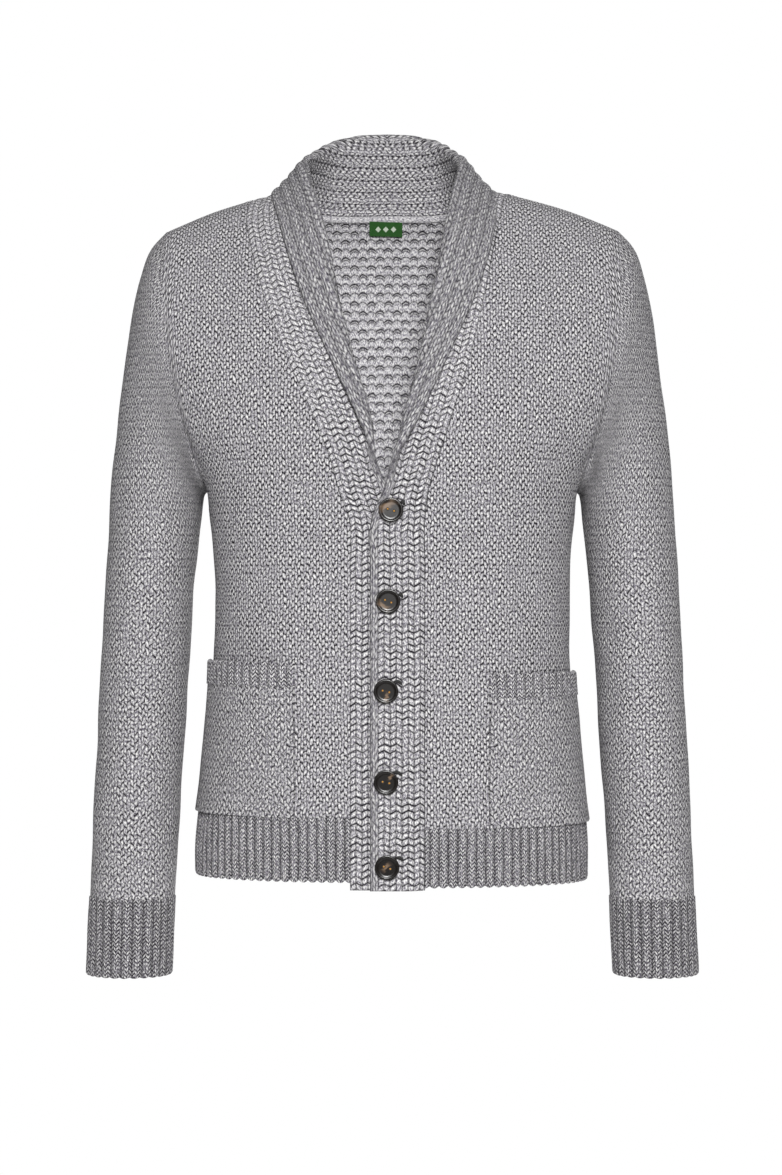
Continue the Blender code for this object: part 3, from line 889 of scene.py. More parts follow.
class Graph:
    """Node tree of one material."""

    def __init__(self, name: str) -> None:
        """Start a material with only its shader and output.

        Args:
            name: The material's name.
        """
        self.material = bpy.data.materials.new(name)
        self.material.use_nodes = True
        self.tree = self.material.node_tree
        self.shader = self.tree.nodes["Principled BSDF"]

    def add(self, kind: str, *inputs: Signal, stops: Stops = (), **settings: Any) -> Socket:
        """Add a node with its settings and links.

        Args:
            kind: Node type after "ShaderNode", with its operation after a dot where it has one.
            *inputs: Value or socket for each input in turn. None leaves one as it is.
            stops: Places and colours of a colour ramp.
            **settings: Attributes of the node.

        Returns:
            The node's first output.
        """
        kind, _, operation = kind.partition(".")
        node = self.tree.nodes.new("ShaderNode" + kind)
        if operation:
            node.operation = operation
        for key, value in settings.items():
            setattr(node, key, value)
        while stops and len(node.color_ramp.elements) < len(stops):
            node.color_ramp.elements.new(0.5)
        if stops:
            for element, (place, colour) in zip(node.color_ramp.elements, stops):
                element.position = place
                element.color = colour
        for socket, value in zip(node.inputs, inputs):
            if isinstance(value, Socket):
                self.tree.links.new(value, socket)
            elif value is not None:
                socket.default_value = value
        return node.outputs[0]

    def gap(self, off: Socket, power: float, dark: Signal) -> Socket:
        """Light that falls off towards both ends of a range.

        Args:
            off: Place in the range, from -0.5 to 0.5.
            power: How narrow the dark ends are.
            dark: How dark they are. Over 1 they widen instead.

        Returns:
            Light from 0 to 1.
        """
        near = self.add("Math.POWER", self.add("Math.MULTIPLY", self.add("Math.ABSOLUTE", off), 2.0), power)
        fall = self.add("Math.MULTIPLY", near, dark, use_clamp=True)
        return self.add("Math.SUBTRACT", 1.0, fall)

    def link(self, output: Socket, name: str) -> None:
        """Link an output to one of the shader's inputs."""
        self.tree.links.new(output, self.shader.inputs[name])

    def set(self, name: str, value: float) -> None:
        """Set one of the shader's own values."""
        self.shader.inputs[name].default_value = value


@dataclass(frozen=True)
class Yarn:
    """Marled wool: plies of pale, middle and dark fleece spun apart and then twisted together.

    To the eye no stitch is one colour: short flecks run along the yarn. The hollows between stitches are
    painted a bluish black, as the shade that falls in them. Wool is matt, with a faint halo of loose
    fibres. Fleck sizes are the real ones in millimetres: half a turn of the twist along the yarn, and one
    ply across it.
    """

    pale: str = "#ecebe9"
    middle: str = "#b7b5b9"
    dark: str = "#6b6772"
    # Colour of the painted shade deep in the hollows between stitches.
    shade: str = "#241e29"
    fleck_across: float = 1.25
    fleck_along: float = 2.3
    blotch: float = 0.03
    fuzz: float = 0.25
    roughness: float = 0.92
    sheen: float = 0.05
    sheen_roughness: float = 0.5
    specular: float = 0.2
    # Where each ply's colour lies in the fine grain, from dark to pale.
    ply_places: tuple[float, float, float] = (0.38, 0.50, 0.62)
    # Lumps to the millimetre, across and along the wales.
    fuzz_grain: Place = (2.6, 1.4, 1.0)
    blotch_grain: Place = (0.05, 0.05, 1.0)
    wander_grain: Place = (0.075, 0.075, 1.0)


@dataclass(frozen=True)
class Knit:
    """One kind of knitting. U and V count millimetres across and along the wales.

    Light tells how open a place is, from 0 deep between the stitches to 1 on top of a leg. It raises the
    bumps and paints the shade of the hollows into the colour. Depth is the height of the stitches in
    millimetres, tint the share of light that the whole face sends back, and wander how far the wales
    stray.
    """

    name: str
    depth: float = 1.1
    tint: float = 1.0
    wander: float = 0.9
    fleck: float = 1.0
    chance: float = 0.06
    yarn: Yarn = Yarn()

    def pattern(self, g: Graph, u: Socket, v: Socket) -> tuple[Socket, Socket]:
        """Draw the stitches.

        Args:
            g: The material's nodes.
            u: Millimetres across the wales.
            v: Millimetres along them.

        Returns:
            Light at each place, and chance, a value from 0 to 1 that each stitch has of its own.
        """
        raise NotImplementedError

    def build(self) -> bpy.types.Material:
        """Build the material. Stitches are raised as bumps and the hollows between them painted dark as
        shade.

        Returns:
            The material.
        """
        g = Graph(self.name)
        yarn = self.yarn
        uv = g.add("UVMap", uv_map="knit")
        slow = g.add("TexNoise", g.add("Mapping", uv, None, None, yarn.wander_grain), None, 1.0, 2.0)
        drift = g.add("VectorMath.SUBTRACT", slow.node.outputs["Color"], (0.5, 0.5, 0.5))
        # The noise strays about a quarter from its middle, so four times it gives the wander.
        drift = g.add("VectorMath.SCALE", drift, None, None, self.wander * 4.0)
        split = g.add("SeparateXYZ", g.add("VectorMath.ADD", uv, drift))
        light, chance = self.pattern(g, split, split.node.outputs[1])

        grain = g.add("Mapping", uv, None, None, (1.0 / yarn.fleck_across, 1.0 / yarn.fleck_along, 1.0))
        grain = g.add("TexNoise", grain, None, 1.0, 3.0, 0.65)
        grain = g.add("Math.MULTIPLY_ADD", g.add("Math.SUBTRACT", grain, 0.5), self.fleck, 0.5)
        grain = g.add("Math.MULTIPLY_ADD", g.add("Math.SUBTRACT", chance, 0.5), self.chance, grain)
        blotch = g.add("TexNoise", g.add("Mapping", uv, None, None, yarn.blotch_grain), None, 1.0, 2.0)
        grain = g.add("Math.MULTIPLY_ADD", g.add("Math.SUBTRACT", blotch, 0.5), yarn.blotch, grain)
        plies = list(zip(yarn.ply_places, map(linear, (yarn.dark, yarn.middle, yarn.pale))))
        colour = g.add("ValToRGB", grain, stops=plies)
        # Painted shade: the colour runs from the shade colour deep between stitches to the tint on top of
        # them.
        open_face = (self.tint, self.tint, self.tint, 1.0)
        shade = g.add("ValToRGB", light, stops=((0.0, linear(yarn.shade)), (1.0, open_face)))
        final = g.add("Mix", 1.0, *BEFORE_COLOURS, colour, shade, data_type="RGBA", blend_type="MULTIPLY")
        g.link(final.node.outputs[MIXED_COLOUR], "Base Color")

        fibre = g.add("TexNoise", g.add("Mapping", uv, None, None, yarn.fuzz_grain), None, 1.0, 2.0)
        height = g.add("Math.MULTIPLY_ADD", fibre, yarn.fuzz, light)
        bump = g.add("Bump", 1.0, self.depth * MM)
        g.tree.links.new(height, bump.node.inputs["Height"])
        g.link(bump, "Normal")
        g.set("Roughness", yarn.roughness)
        g.set("Sheen Weight", yarn.sheen)
        g.set("Sheen Roughness", yarn.sheen_roughness)
        g.set("Specular IOR Level", yarn.specular)
        return g.material


@dataclass(frozen=True)
class Legs(Knit):
    """Stitch legs seen from the knit side.

    Column and length are a leg's width and height. Offset shifts every second column by a share of a
    length and slant tips legs to one side and back, so that two make a V. Side and end darkness are the
    painted shade of the gaps beside and between legs, and the powers say how narrow the gaps are. Rib
    pitch and darkness, when not 0, give the painted shade of the hollows between ribs, and row darkness
    the painted shade of the line between two courses, with its own power and the share of a length that
    it waves by.
    Dots is the share of the end gaps that shrinks to dots in the corners between four legs.
    Between the two places called calm, along V, the gaps fade to the calm share of their darkness.
    """

    column: float = 3.0
    length: float = 7.8
    offset: float = 0.0
    slant: float = 0.0
    side_dark: float = 0.45
    end_dark: float = 0.85
    side_power: float = 3.0
    end_power: float = 3.0
    rib_pitch: float = 0.0
    rib_dark: float = 0.0
    row_dark: float = 0.0
    row_power: float = 5.0
    row_wave: float = 0.14
    dots: float = 0.0
    calm: Optional[tuple[float, float]] = None
    calm_share: float = 0.8

    def pattern(self, g: Graph, u: Socket, v: Socket) -> tuple[Socket, Socket]:
        """Draw the legs column by column.

        Args:
            g: The material's nodes.
            u: Millimetres across the wales.
            v: Millimetres along them.

        Returns:
            Light and chance, as for every kind of knitting.
        """
        place = g.add("Math.MULTIPLY", u, 1.0 / self.column)
        number = g.add("Math.FLOOR", place)
        off = g.add("Math.SUBTRACT", g.add("Math.SUBTRACT", place, number), 0.5)
        parity = g.add("Math.FLOORED_MODULO", number, 2.0)
        course = g.add("Math.MULTIPLY_ADD", v, 1.0 / self.length, g.add("Math.MULTIPLY", parity, self.offset))
        if self.slant:
            way = g.add("Math.MULTIPLY_ADD", parity, 2.0 * self.slant, -self.slant)
            course = g.add("Math.MULTIPLY_ADD", off, way, course)
        stitch = g.add("Math.FLOOR", course)
        rest = g.add("Math.SUBTRACT", g.add("Math.SUBTRACT", course, stitch), 0.5)
        chance = g.add("TexWhiteNoise", g.add("CombineXYZ", number, stitch, 0.0), noise_dimensions="3D")
        # Painted shade at the ends of each leg, a little deeper or paler for each stitch.
        deep = g.add("Math.MULTIPLY_ADD", chance, self.end_dark * 1.2, self.end_dark * 0.25)
        if self.dots:
            border = g.add("Math.MULTIPLY", g.add("Math.MULTIPLY", off, off), 4.0)
            border = g.add("Math.MULTIPLY_ADD", border, self.dots, 1.0 - self.dots)
            deep = g.add("Math.MULTIPLY", deep, border)
        beside = self.side_dark
        if self.calm:
            start, end = self.calm
            still = g.add("Math.MULTIPLY_ADD", v, -1.0 / (end - start), end / (end - start), use_clamp=True)
            still = g.add("Math.MULTIPLY_ADD", still, 1.0 - self.calm_share, self.calm_share)
            deep = g.add("Math.MULTIPLY", deep, still)
            beside = g.add("Math.MULTIPLY", still, self.side_dark)
        light = g.add("Math.MULTIPLY", g.gap(off, self.side_power, beside), g.gap(rest, self.end_power, deep))
        # Painted shade along the line between two courses.
        if self.row_dark:
            wave = g.add("Math.SINE", g.add("Math.MULTIPLY", place, math.pi / 2.0))
            wave = g.add("Math.MULTIPLY", wave, self.row_wave)
            row = g.add("Math.FRACT", g.add("Math.MULTIPLY_ADD", v, 1.0 / self.length, wave))
            line = g.gap(g.add("Math.SUBTRACT", row, 0.5), self.row_power, self.row_dark)
            light = g.add("Math.MULTIPLY", light, line)
        # Painted shade in the hollows between ribs.
        if self.rib_pitch:
            ridge = g.add("Math.SINE", g.add("Math.MULTIPLY", u, math.pi / self.rib_pitch))
            ridge = g.add("Math.POWER", g.add("Math.ABSOLUTE", ridge), 0.8)
            ridge = g.add("Math.MULTIPLY_ADD", ridge, self.rib_dark, 1.0 - self.rib_dark)
            light = g.add("Math.MULTIPLY", light, ridge)
        return light, chance


@dataclass(frozen=True)
class Arcs(Knit):
    """Loops seen from the purl side: rows of arches, every second one bolder.

    Column and row are the width and height of an arch. Rise, foot and line are shares of a row: how far
    the arch rises, how high its feet stand and how thick its dark line is. Nested is the share of a row
    that a fainter line lies under it. Both lines are painted shade of the gaps between the loops. Over and
    inside give the darkness of the two lines, and what a bold arch adds to it.
    """

    column: float = 8.4
    row: float = 9.0
    rise: float = 0.30
    foot: float = 0.42
    line: float = 0.13
    nested: float = 0.28
    dark: float = 0.9
    over: tuple[float, float] = (0.62, 0.35)
    inside: tuple[float, float] = (0.15, 0.5)

    def pattern(self, g: Graph, u: Socket, v: Socket) -> tuple[Socket, Socket]:
        """Paint a line of shade over each arch and a fainter one inside the bold ones.

        Args:
            g: The material's nodes.
            u: Millimetres across the wales.
            v: Millimetres along them.

        Returns:
            Light and chance, as for every kind of knitting.
        """
        course = g.add("Math.MULTIPLY", v, 1.0 / self.row)
        stitch = g.add("Math.FLOOR", course)
        rest = g.add("Math.SUBTRACT", course, stitch)
        place = g.add("Math.MULTIPLY", u, 1.0 / self.column)
        number = g.add("Math.FLOOR", place)
        off = g.add("Math.SUBTRACT", g.add("Math.SUBTRACT", place, number), 0.5)
        bold = g.add("Math.FLOORED_MODULO", g.add("Math.ADD", number, stitch), 2.0)
        chance = g.add("TexWhiteNoise", g.add("CombineXYZ", number, stitch, 0.0), noise_dimensions="3D")
        bow = g.add("Math.MULTIPLY", off, off)
        arch = g.add("Math.MULTIPLY_ADD", bow, -4.0 * self.rise, self.rise + self.foot)
        away = g.add("Math.MULTIPLY", g.add("Math.SUBTRACT", rest, arch), 1.0 / self.line)
        upper = g.add("Math.POWER", g.add("Math.MULTIPLY_ADD", away, away, 1.0), -2.0)
        plain, more = self.over
        weight = g.add("Math.MULTIPLY_ADD", bold, more * self.dark, plain * self.dark)
        upper = g.add("Math.MULTIPLY", upper, weight)
        inner = g.add("Math.ADD", away, self.nested / self.line)
        inner = g.add("Math.POWER", g.add("Math.MULTIPLY_ADD", inner, inner, 1.0), -2.0)
        plain, more = self.inside
        inner = g.add("Math.MULTIPLY", inner, g.add("Math.MULTIPLY_ADD", bold, more, plain))
        light = g.add("Math.MULTIPLY", g.add("Math.SUBTRACT", 1.0, upper), g.add("Math.SUBTRACT", 1.0, inner))
        return light, chance


@dataclass(frozen=True)
class Eyelets(Legs):
    """Reverse of the ribbed band where it is pulled round the neck: lines of open holes between ribs.

    Marks are the hole and the smaller mark beside it: how far each is shifted across and along, as shares
    of the pitches, its size as a share of the hole's, and its darkness, which is painted shade. Both are
    longer than wide.
    """

    hole_pitch: float = 6.1
    line_pitch: float = 12.2
    hole: float = 1.25
    longer: float = 1.3
    marks: tuple[tuple[float, ...], ...] = ((0.0, 0.0, 1.0, 0.95), (0.36, 0.5, 0.8, 0.6))

    def pattern(self, g: Graph, u: Socket, v: Socket) -> tuple[Socket, Socket]:
        """Draw faint legs, then paint the holes and the smaller marks a little off each line of them dark, as
        shade.

        Args:
            g: The material's nodes.
            u: Millimetres across the wales.
            v: Millimetres along them.

        Returns:
            Light and chance, as for every kind of knitting.
        """
        light, chance = super().pattern(g, u, v)
        # Each mark is painted shade, darkest in its middle.
        for shift, stray, share, dark in self.marks:
            size = self.hole * share
            across = g.add("Math.MULTIPLY_ADD", u, 1.0 / self.line_pitch, shift)
            across = g.add("Math.SUBTRACT", g.add("Math.FRACT", across), 0.5)
            across = g.add("Math.MULTIPLY", across, self.line_pitch / size)
            along = g.add("Math.MULTIPLY_ADD", v, 1.0 / self.hole_pitch, stray)
            along = g.add("Math.SUBTRACT", g.add("Math.FRACT", along), 0.5)
            along = g.add("Math.MULTIPLY", along, self.hole_pitch / (size * self.longer))
            reach = g.add("Math.MULTIPLY_ADD", along, along, g.add("Math.MULTIPLY", across, across))
            mark = g.add("Math.POWER", g.add("Math.ADD", g.add("Math.MULTIPLY", reach, reach), 1.0), -1.5)
            light = g.add("Math.MULTIPLY", light, g.add("Math.MULTIPLY_ADD", mark, -dark, 1.0))
        return light, chance


# Power that rounds a rib off, and its height at the wall's own surface.
RIB_POWER = 0.7
RIB_MIDDLE = 0.55


def ribs(pitch: float, depth: float) -> Relief:
    """Rounded ribs across U, half up and half down from the wall's own surface."""
    return lambda u: depth * (np.abs(np.sin(np.pi * u / pitch)) ** RIB_POWER - RIB_MIDDLE)


def smooth(u: Array) -> Array:
    """No relief of its own."""
    return np.zeros_like(u)


def place_object(
    name: str, mesh: bpy.types.Mesh, replaces: Optional[str] = None
) -> bpy.types.Object:
    """Put a finished mesh in the scene, on the garment's only body.

    Args:
        name: Name of the piece.
        mesh: Its mesh.
        replaces: Plain solid that it takes the place of.

    Returns:
        The piece.
    """
    piece = bpy.data.objects.new(name, mesh)
    bpy.context.scene.collection.objects.link(piece)
    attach(piece, "root")
    if replaces:
        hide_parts(replaces)
    return piece


@dataclass
class Cloth:
    """A wall of knitting round a panel's middle surface.

    The wall keeps the piece's real thickness, so it shows an edge wherever the garment is open. Flat and
    area give the piece's cut in metres; they are not used. Across and along are the steps of its fine
    grid, relief and lining the ribs of its two sides, and lift how far it lies off its panel. Fall is the
    finish of a band's turned-back part, and scallop how far the ribs reach past a free border. It dies
    away over the scallop's reach.
    """

    panel: Panel
    outer: bpy.types.Material
    inner: bpy.types.Material
    slot: str
    flat: tuple[float, float]
    area: float
    across: float = 3.0
    along: float = 3.0
    wall: float = 4.0
    relief: Relief = smooth
    lining: Relief = smooth
    lift: float = 0.0
    unevenness: float = 1.1
    creased: bool = True
    seed: int = 1
    fall: Optional[bpy.types.Material] = None
    scallop: float = 0.0
    scallop_reach: float = 5.0

    def scalloped(self, weave: Weave) -> Array:
        """Draw the free border out below each rib and in between them.

        Args:
            weave: The piece's fine grid.

        Returns:
            Its middle points.
        """
        if not self.scallop:
            return weave.points
        rows = weave.points if self.panel.free_start else weave.points[::-1]
        out = unit(rows[:1] - rows[3:4])
        gone = lengths(rows, 0)
        swell = self.relief(weave.u[0])
        swell = swell / np.abs(swell).max() * self.scallop
        moved = rows + out * (swell[None, :] * np.exp(-gone / self.scallop_reach))[..., None]
        return moved if self.panel.free_start else moved[::-1]

    def edge_share(self, weave: Weave) -> Array:
        """Share of the wall's thickness, which rounds off to almost nothing at a free border.

        Args:
            weave: The piece's fine grid.

        Returns:
            A share at each point.
        """
        share = np.ones(weave.u.shape)
        radius = self.wall / 2.0
        along = lengths(weave.points, 0)
        across = lengths(weave.points, 1)
        gaps = []
        if self.panel.free_start:
            gaps.append(along)
        if self.panel.free_end:
            gaps.append(along[-1:] - along)
        if self.panel.free_edge:
            gaps.append(across[:, -1:] - across)
        for gap in gaps:
            near = np.clip(gap / radius, 0.0, 1.0)
            share = np.minimum(share, np.sqrt(np.maximum(1.0 - (1.0 - near) ** 2, 0.02)))
        return share

    def sides(self, weave: Weave) -> tuple[Array, Array]:
        """Move the middle points out and in by half the wall, the unevenness, the creases and the ribs.

        Args:
            weave: The piece's fine grid.

        Returns:
            Points of the outer and of the inner side. A tube's don't repeat its first column.
        """
        shape = uneven(weave.points, self.unevenness, self.seed)
        if self.creased:
            shape = shape + sum(crease.height(weave.points) for crease in CREASES)
        share = self.edge_share(weave) * self.wall / 2.0
        if weave.split is None:
            u_seen = weave.u
        else:
            u_seen = np.where(np.arange(weave.u.shape[1]) < weave.split, weave.u, weave.u_fall)
        fade = share / (self.wall / 2.0)
        out = self.lift + shape + share + self.relief(u_seen) * fade
        back = self.lift + shape - share - self.lining(u_seen) * fade
        middle = self.scalloped(weave)
        outer = middle + weave.normals * out[..., None]
        inner = middle + weave.normals * back[..., None]
        if self.panel.tube:
            return outer[:, :-1], inner[:, :-1]
        return outer, inner

    def quads(self, weave: Weave, rows: int, columns: int) -> tuple[Array, Array, Array]:
        """Faces of the closed wall: the outer side, the inner side and the rims.

        Args:
            weave: The piece's fine grid.
            rows: Rows of points on a side.
            columns: Columns of points on a side.

        Returns:
            Vertices and knit coordinates of each face, and the number of its material.
        """
        count = rows * columns
        i, j = np.meshgrid(np.arange(rows - 1), np.arange(weave.u.shape[1] - 1), indexing="ij")
        i, j = i.ravel(), j.ravel()
        corners = ((i, j), (i, j + 1), (i + 1, j + 1), (i + 1, j))
        side = np.stack([r * columns + c % columns for r, c in corners], axis=1)
        places_uv = [np.stack([self.u_of(weave, r, c, j), weave.v[r, c]], axis=-1) for r, c in corners]
        uv = np.stack(places_uv, axis=1)
        turn = -1 if self.panel.flip else 1
        rims, rim_uv = self.rims(weave, rows, columns, count)
        faces = np.concatenate([side[:, ::turn], side[:, ::-turn] + count, rims])
        coordinates = np.concatenate([uv[:, ::turn], uv[:, ::-turn], rim_uv])
        turned_back = 2 * (j >= weave.split) if self.fall else np.zeros_like(j)
        materials = np.concatenate([turned_back, np.maximum(turned_back, 1), np.zeros(len(rims), int)])
        return faces, coordinates, materials

    def build(self) -> bpy.types.Object:
        """Returns:
            The piece.
        """
        panel = self.panel
        weave = refine(panel, self.across, self.along)
        outer, inner = self.sides(weave)
        vertices = np.concatenate([outer.reshape(-1, 3), inner.reshape(-1, 3)]) * MM
        faces, uv, chosen = self.quads(weave, *outer.shape[:2])
        mesh = bpy.data.meshes.new(panel.name)
        mesh.vertices.add(len(vertices))
        mesh.vertices.foreach_set("co", vertices.astype(np.float32).ravel())
        mesh.loops.add(faces.size)
        mesh.loops.foreach_set("vertex_index", faces.astype(np.int32).ravel())
        mesh.polygons.add(len(faces))
        mesh.polygons.foreach_set("loop_start", np.arange(0, faces.size, 4, dtype=np.int32))
        mesh.polygons.foreach_set("material_index", chosen.astype(np.int32))
        layer = mesh.uv_layers.new(name="knit")
        layer.uv.foreach_set("vector", uv.astype(np.float32).ravel())
        for material in (self.outer, self.inner, self.fall):
            if material:
                mesh.materials.append(material)
        mesh.update(calc_edges=True)
        mesh.validate()
        mesh.shade_smooth()
        mesh.set_sharp_from_angle(angle=math.radians(SHARP_CLOTH))
        piece = place_object("knit_" + panel.name, mesh, panel.name)
        LOG.info("%s: %d faces, %.0f x %.0f mm", piece.name, len(faces), np.ptp(weave.u), np.ptp(weave.v))
        return piece

    def u_of(self, weave: Weave, rows: Array, columns: Array, cells: Array) -> Array:
        """U at the corners of cells. Past the middle of a band's fold it is counted from the free edge.

        Args:
            weave: The piece's fine grid.
            rows: Row of each corner.
            columns: Column of each corner.
            cells: Column of each cell.

        Returns:
            U of each corner.
        """
        if weave.split is None:
            return weave.u[rows, columns]
        return np.where(cells < weave.split, weave.u[rows, columns], weave.u_fall[rows, columns])

    def rims(self, weave: Weave, rows: int, columns: int, count: int) -> tuple[Array, Array]:
        """Faces between the two sides along each border.

        Args:
            weave: The piece's fine grid.
            rows: Rows of points on a side.
            columns: Columns of points on a side.
            count: Number of points on a side.

        Returns:
            Vertices and knit coordinates of each face.
        """
        flip = self.panel.flip
        wide = weave.u.shape[1]
        j = np.arange(wide - 1)
        first, last = np.zeros_like(j), np.full_like(j, rows - 1)
        borders = [(first, j, first, j + 1, not flip), (last, j, last, j + 1, flip)]
        if not self.panel.tube:
            i = np.arange(rows - 1)
            first, last = np.zeros_like(i), np.full_like(i, wide - 1)
            borders += [(i, first, i + 1, first, flip), (i, last, i + 1, last, not flip)]
        u_seen = weave.u_fall if weave.split else weave.u
        faces, coordinates = [], []
        for row, column, next_row, next_column, turned in borders:
            near = row * columns + column % columns
            far = next_row * columns + next_column % columns
            face = np.stack([near, far, far + count, near + count], axis=1)
            at = np.stack([u_seen[row, column], weave.v[row, column]], axis=-1)
            to = np.stack([u_seen[next_row, next_column], weave.v[next_row, next_column]], axis=-1)
            uv = np.stack([at, to, to, at], axis=1)
            turn = -1 if turned else 1
            faces.append(face[:, ::turn])
            coordinates.append(uv[:, ::turn])
        return np.concatenate(faces), np.concatenate(coordinates)


@dataclass(frozen=True)
class Knits:
    """The kinds of knitting in the garment, all machine knitted in the same marled wool.

    The tuck stitch of the body shows upright legs with dark dots between them, and its purl side rows of
    arches. Ribs show columns of V stitches with deep hollows between the columns. The dots and the dark of
    the hollows are painted shade. Pitches are the real ones in millimetres, except where a comment says
    otherwise.
    """

    body: Knit = Legs(
        "body_tuck_stitch", 1.5, 0.98, 1.2, 1.0, column=2.9, length=7.0, offset=0.5, slant=0.22,
        side_dark=0.5, side_power=3.5, end_dark=3.0, end_power=4.0, row_dark=0.25, dots=0.65,
    )
    # The sleeve's tint is lower than the body's: partly the sleeves' own darker look, partly painted shade
    # for the weaker light on them.
    sleeve: Knit = Legs(
        "sleeve_tuck_stitch", 1.4, 0.89, 1.2, 1.3, column=3.1, length=7.6, offset=0.5, slant=0.35,
        side_dark=0.5, side_power=4.0, end_dark=1.9, end_power=4.5, row_dark=0.35, dots=0.4,
    )
    purl: Knit = Arcs(
        "body_purl_side", 1.6, 1.0, 0.9, 1.2, 0.02, Yarn(middle="#c6c4c8", dark="#7a7681"), dark=1.0,
    )
    # The real V rows are 2.85 mm apart in the hem and 3.4 mm in the cuffs and pocket ribs. They are too
    # fine to show, so they are drawn as coarse as they need to be: 3.5, 3.7 and 3.6 mm.
    hem: Knit = Legs(
        "hem_rib", 1.2, 1.2, 0.5, 1.2, column=2.15, length=3.5, slant=0.9, side_dark=0.5, end_dark=1.7,
        end_power=2.5, rib_pitch=8.6, rib_dark=0.82,
    )
    cuff: Knit = Legs(
        "cuff_rib", 1.2, 0.98, 0.5, 1.3, column=2.4, length=3.7, slant=0.85, side_dark=0.55, end_dark=1.6,
        end_power=2.5, rib_pitch=9.6, rib_dark=0.75,
    )
    band: Knit = Legs(
        "band_rib_face", 1.4, 0.97, 0.6, 1.3, column=5.45, length=6.1, slant=0.5, side_dark=0.75,
        end_dark=1.3, side_power=3.5, end_power=3.5, calm=(360.0, 500.0),
    )
    collar: Knit = Eyelets(
        "band_rib_reverse", 1.2, 0.95, 0.6, 1.3, column=3.05, length=6.1, offset=0.5, slant=0.3,
        side_dark=0.5, end_dark=1.0,
    )
    lapel: Knit = Legs(
        "lapel_rib_reverse", 1.0, 0.8, 0.8, 1.0, yarn=Yarn(fleck_along=4.6), column=2.65, length=8.5,
        offset=0.5, slant=0.35, side_dark=0.6, side_power=2.5, end_dark=0.7, rib_pitch=10.6, rib_dark=0.42,
    )
    pocket_rib: Knit = Legs(
        "pocket_rib", 1.2, 1.15, 0.5, 1.2, column=2.4, length=3.6, slant=0.85, side_dark=0.5, end_dark=1.5,
        end_power=2.5, rib_pitch=9.6, rib_dark=0.6,
    )
    cord: Knit = Legs(
        "linked_seam", 0.6, 1.0, 0.3, 0.9, column=1.4, length=9.0, offset=0.5, side_dark=0.3, end_dark=0.3,
    )


KNITS = ("body", "sleeve", "purl", "hem", "cuff", "band", "collar", "lapel", "pocket_rib", "cord")


def make_panels() -> dict[str, Panel]:
    """Coarse grids of all the garment's panels, with the wall directions they share at their seams.

    Returns:
        The panels by name.
    """
    middle, outer = Wales.CENTRE_LINE, Wales.OUTER_LINE
    made = [
        Panel("back", "body", FORM.back(), middle),
        Panel("hem_back", "body", FORM.back_hem(), middle, free_start=True),
    ]
    for side in SIDES:
        right = side is RIGHT
        hem = FORM.front_hem(side)
        sleeve = FORM.tube(FORM.sleeve_rings, side)
        cuff = FORM.tube(FORM.cuff_rings, side)
        band = FORM.band_collar(side)
        made += [
            Panel("front_" + side.name, "body", FORM.front(side), middle, flip=right),
            Panel("hem_front_" + side.name, "body", hem, middle, flip=right, free_start=True),
            Panel("sleeve_" + side.name, "sleeve", sleeve, outer, flip=not right, tube=True),
            Panel("cuff_" + side.name, "sleeve", cuff, outer, flip=not right, tube=True, free_end=True),
            Panel(
                "band_collar_" + side.name, "collar", band, Wales.BAND_SEAM, flip=not right, free_start=True,
                free_edge=True,
            ),
        ]
    for panel in made:
        panel.find_normals()
    share_seam_normals(made)
    return {panel.name: panel for panel in made}


@dataclass(frozen=True)
class Pockets:
    """Patch pockets knitted apart and sewn on, each with a rib along its mouth."""

    wall: float = 3.6
    gap: float = 0.4
    puff: float = 2.0
    rib_row: int = 3
    top_row: int = 4

    def panel(self, name: str, front: Panel, first: int, last: int, free_end: bool) -> Panel:
        """Panel of a pocket part, lifted off the front that it is sewn to.

        Args:
            name: Name of the part.
            front: Panel that the pocket is sewn to.
            first: The front's row at its lower border.
            last: The row at its upper border.
            free_end: Whether the upper border is free.

        Returns:
            The panel.
        """
        columns = slice(FORM.inner_cells, None)
        base = FORM.wall / 2.0 + self.gap + self.wall / 2.0
        points = front.points[first : last + 1, columns].copy()
        normals = front.normals[first : last + 1, columns].copy()
        across = np.linspace(0.0, 1.0, points.shape[1])
        for row in range(first, last + 1):
            puff = self.puff * np.sin(math.pi * across) * row / self.top_row
            points[row - first] += normals[row - first] * (base + puff)[:, None]
        made = Panel(name, "pocket", points, Wales.CENTRE_LINE, flip=front.flip, free_end=free_end)
        made.normals = normals
        return made


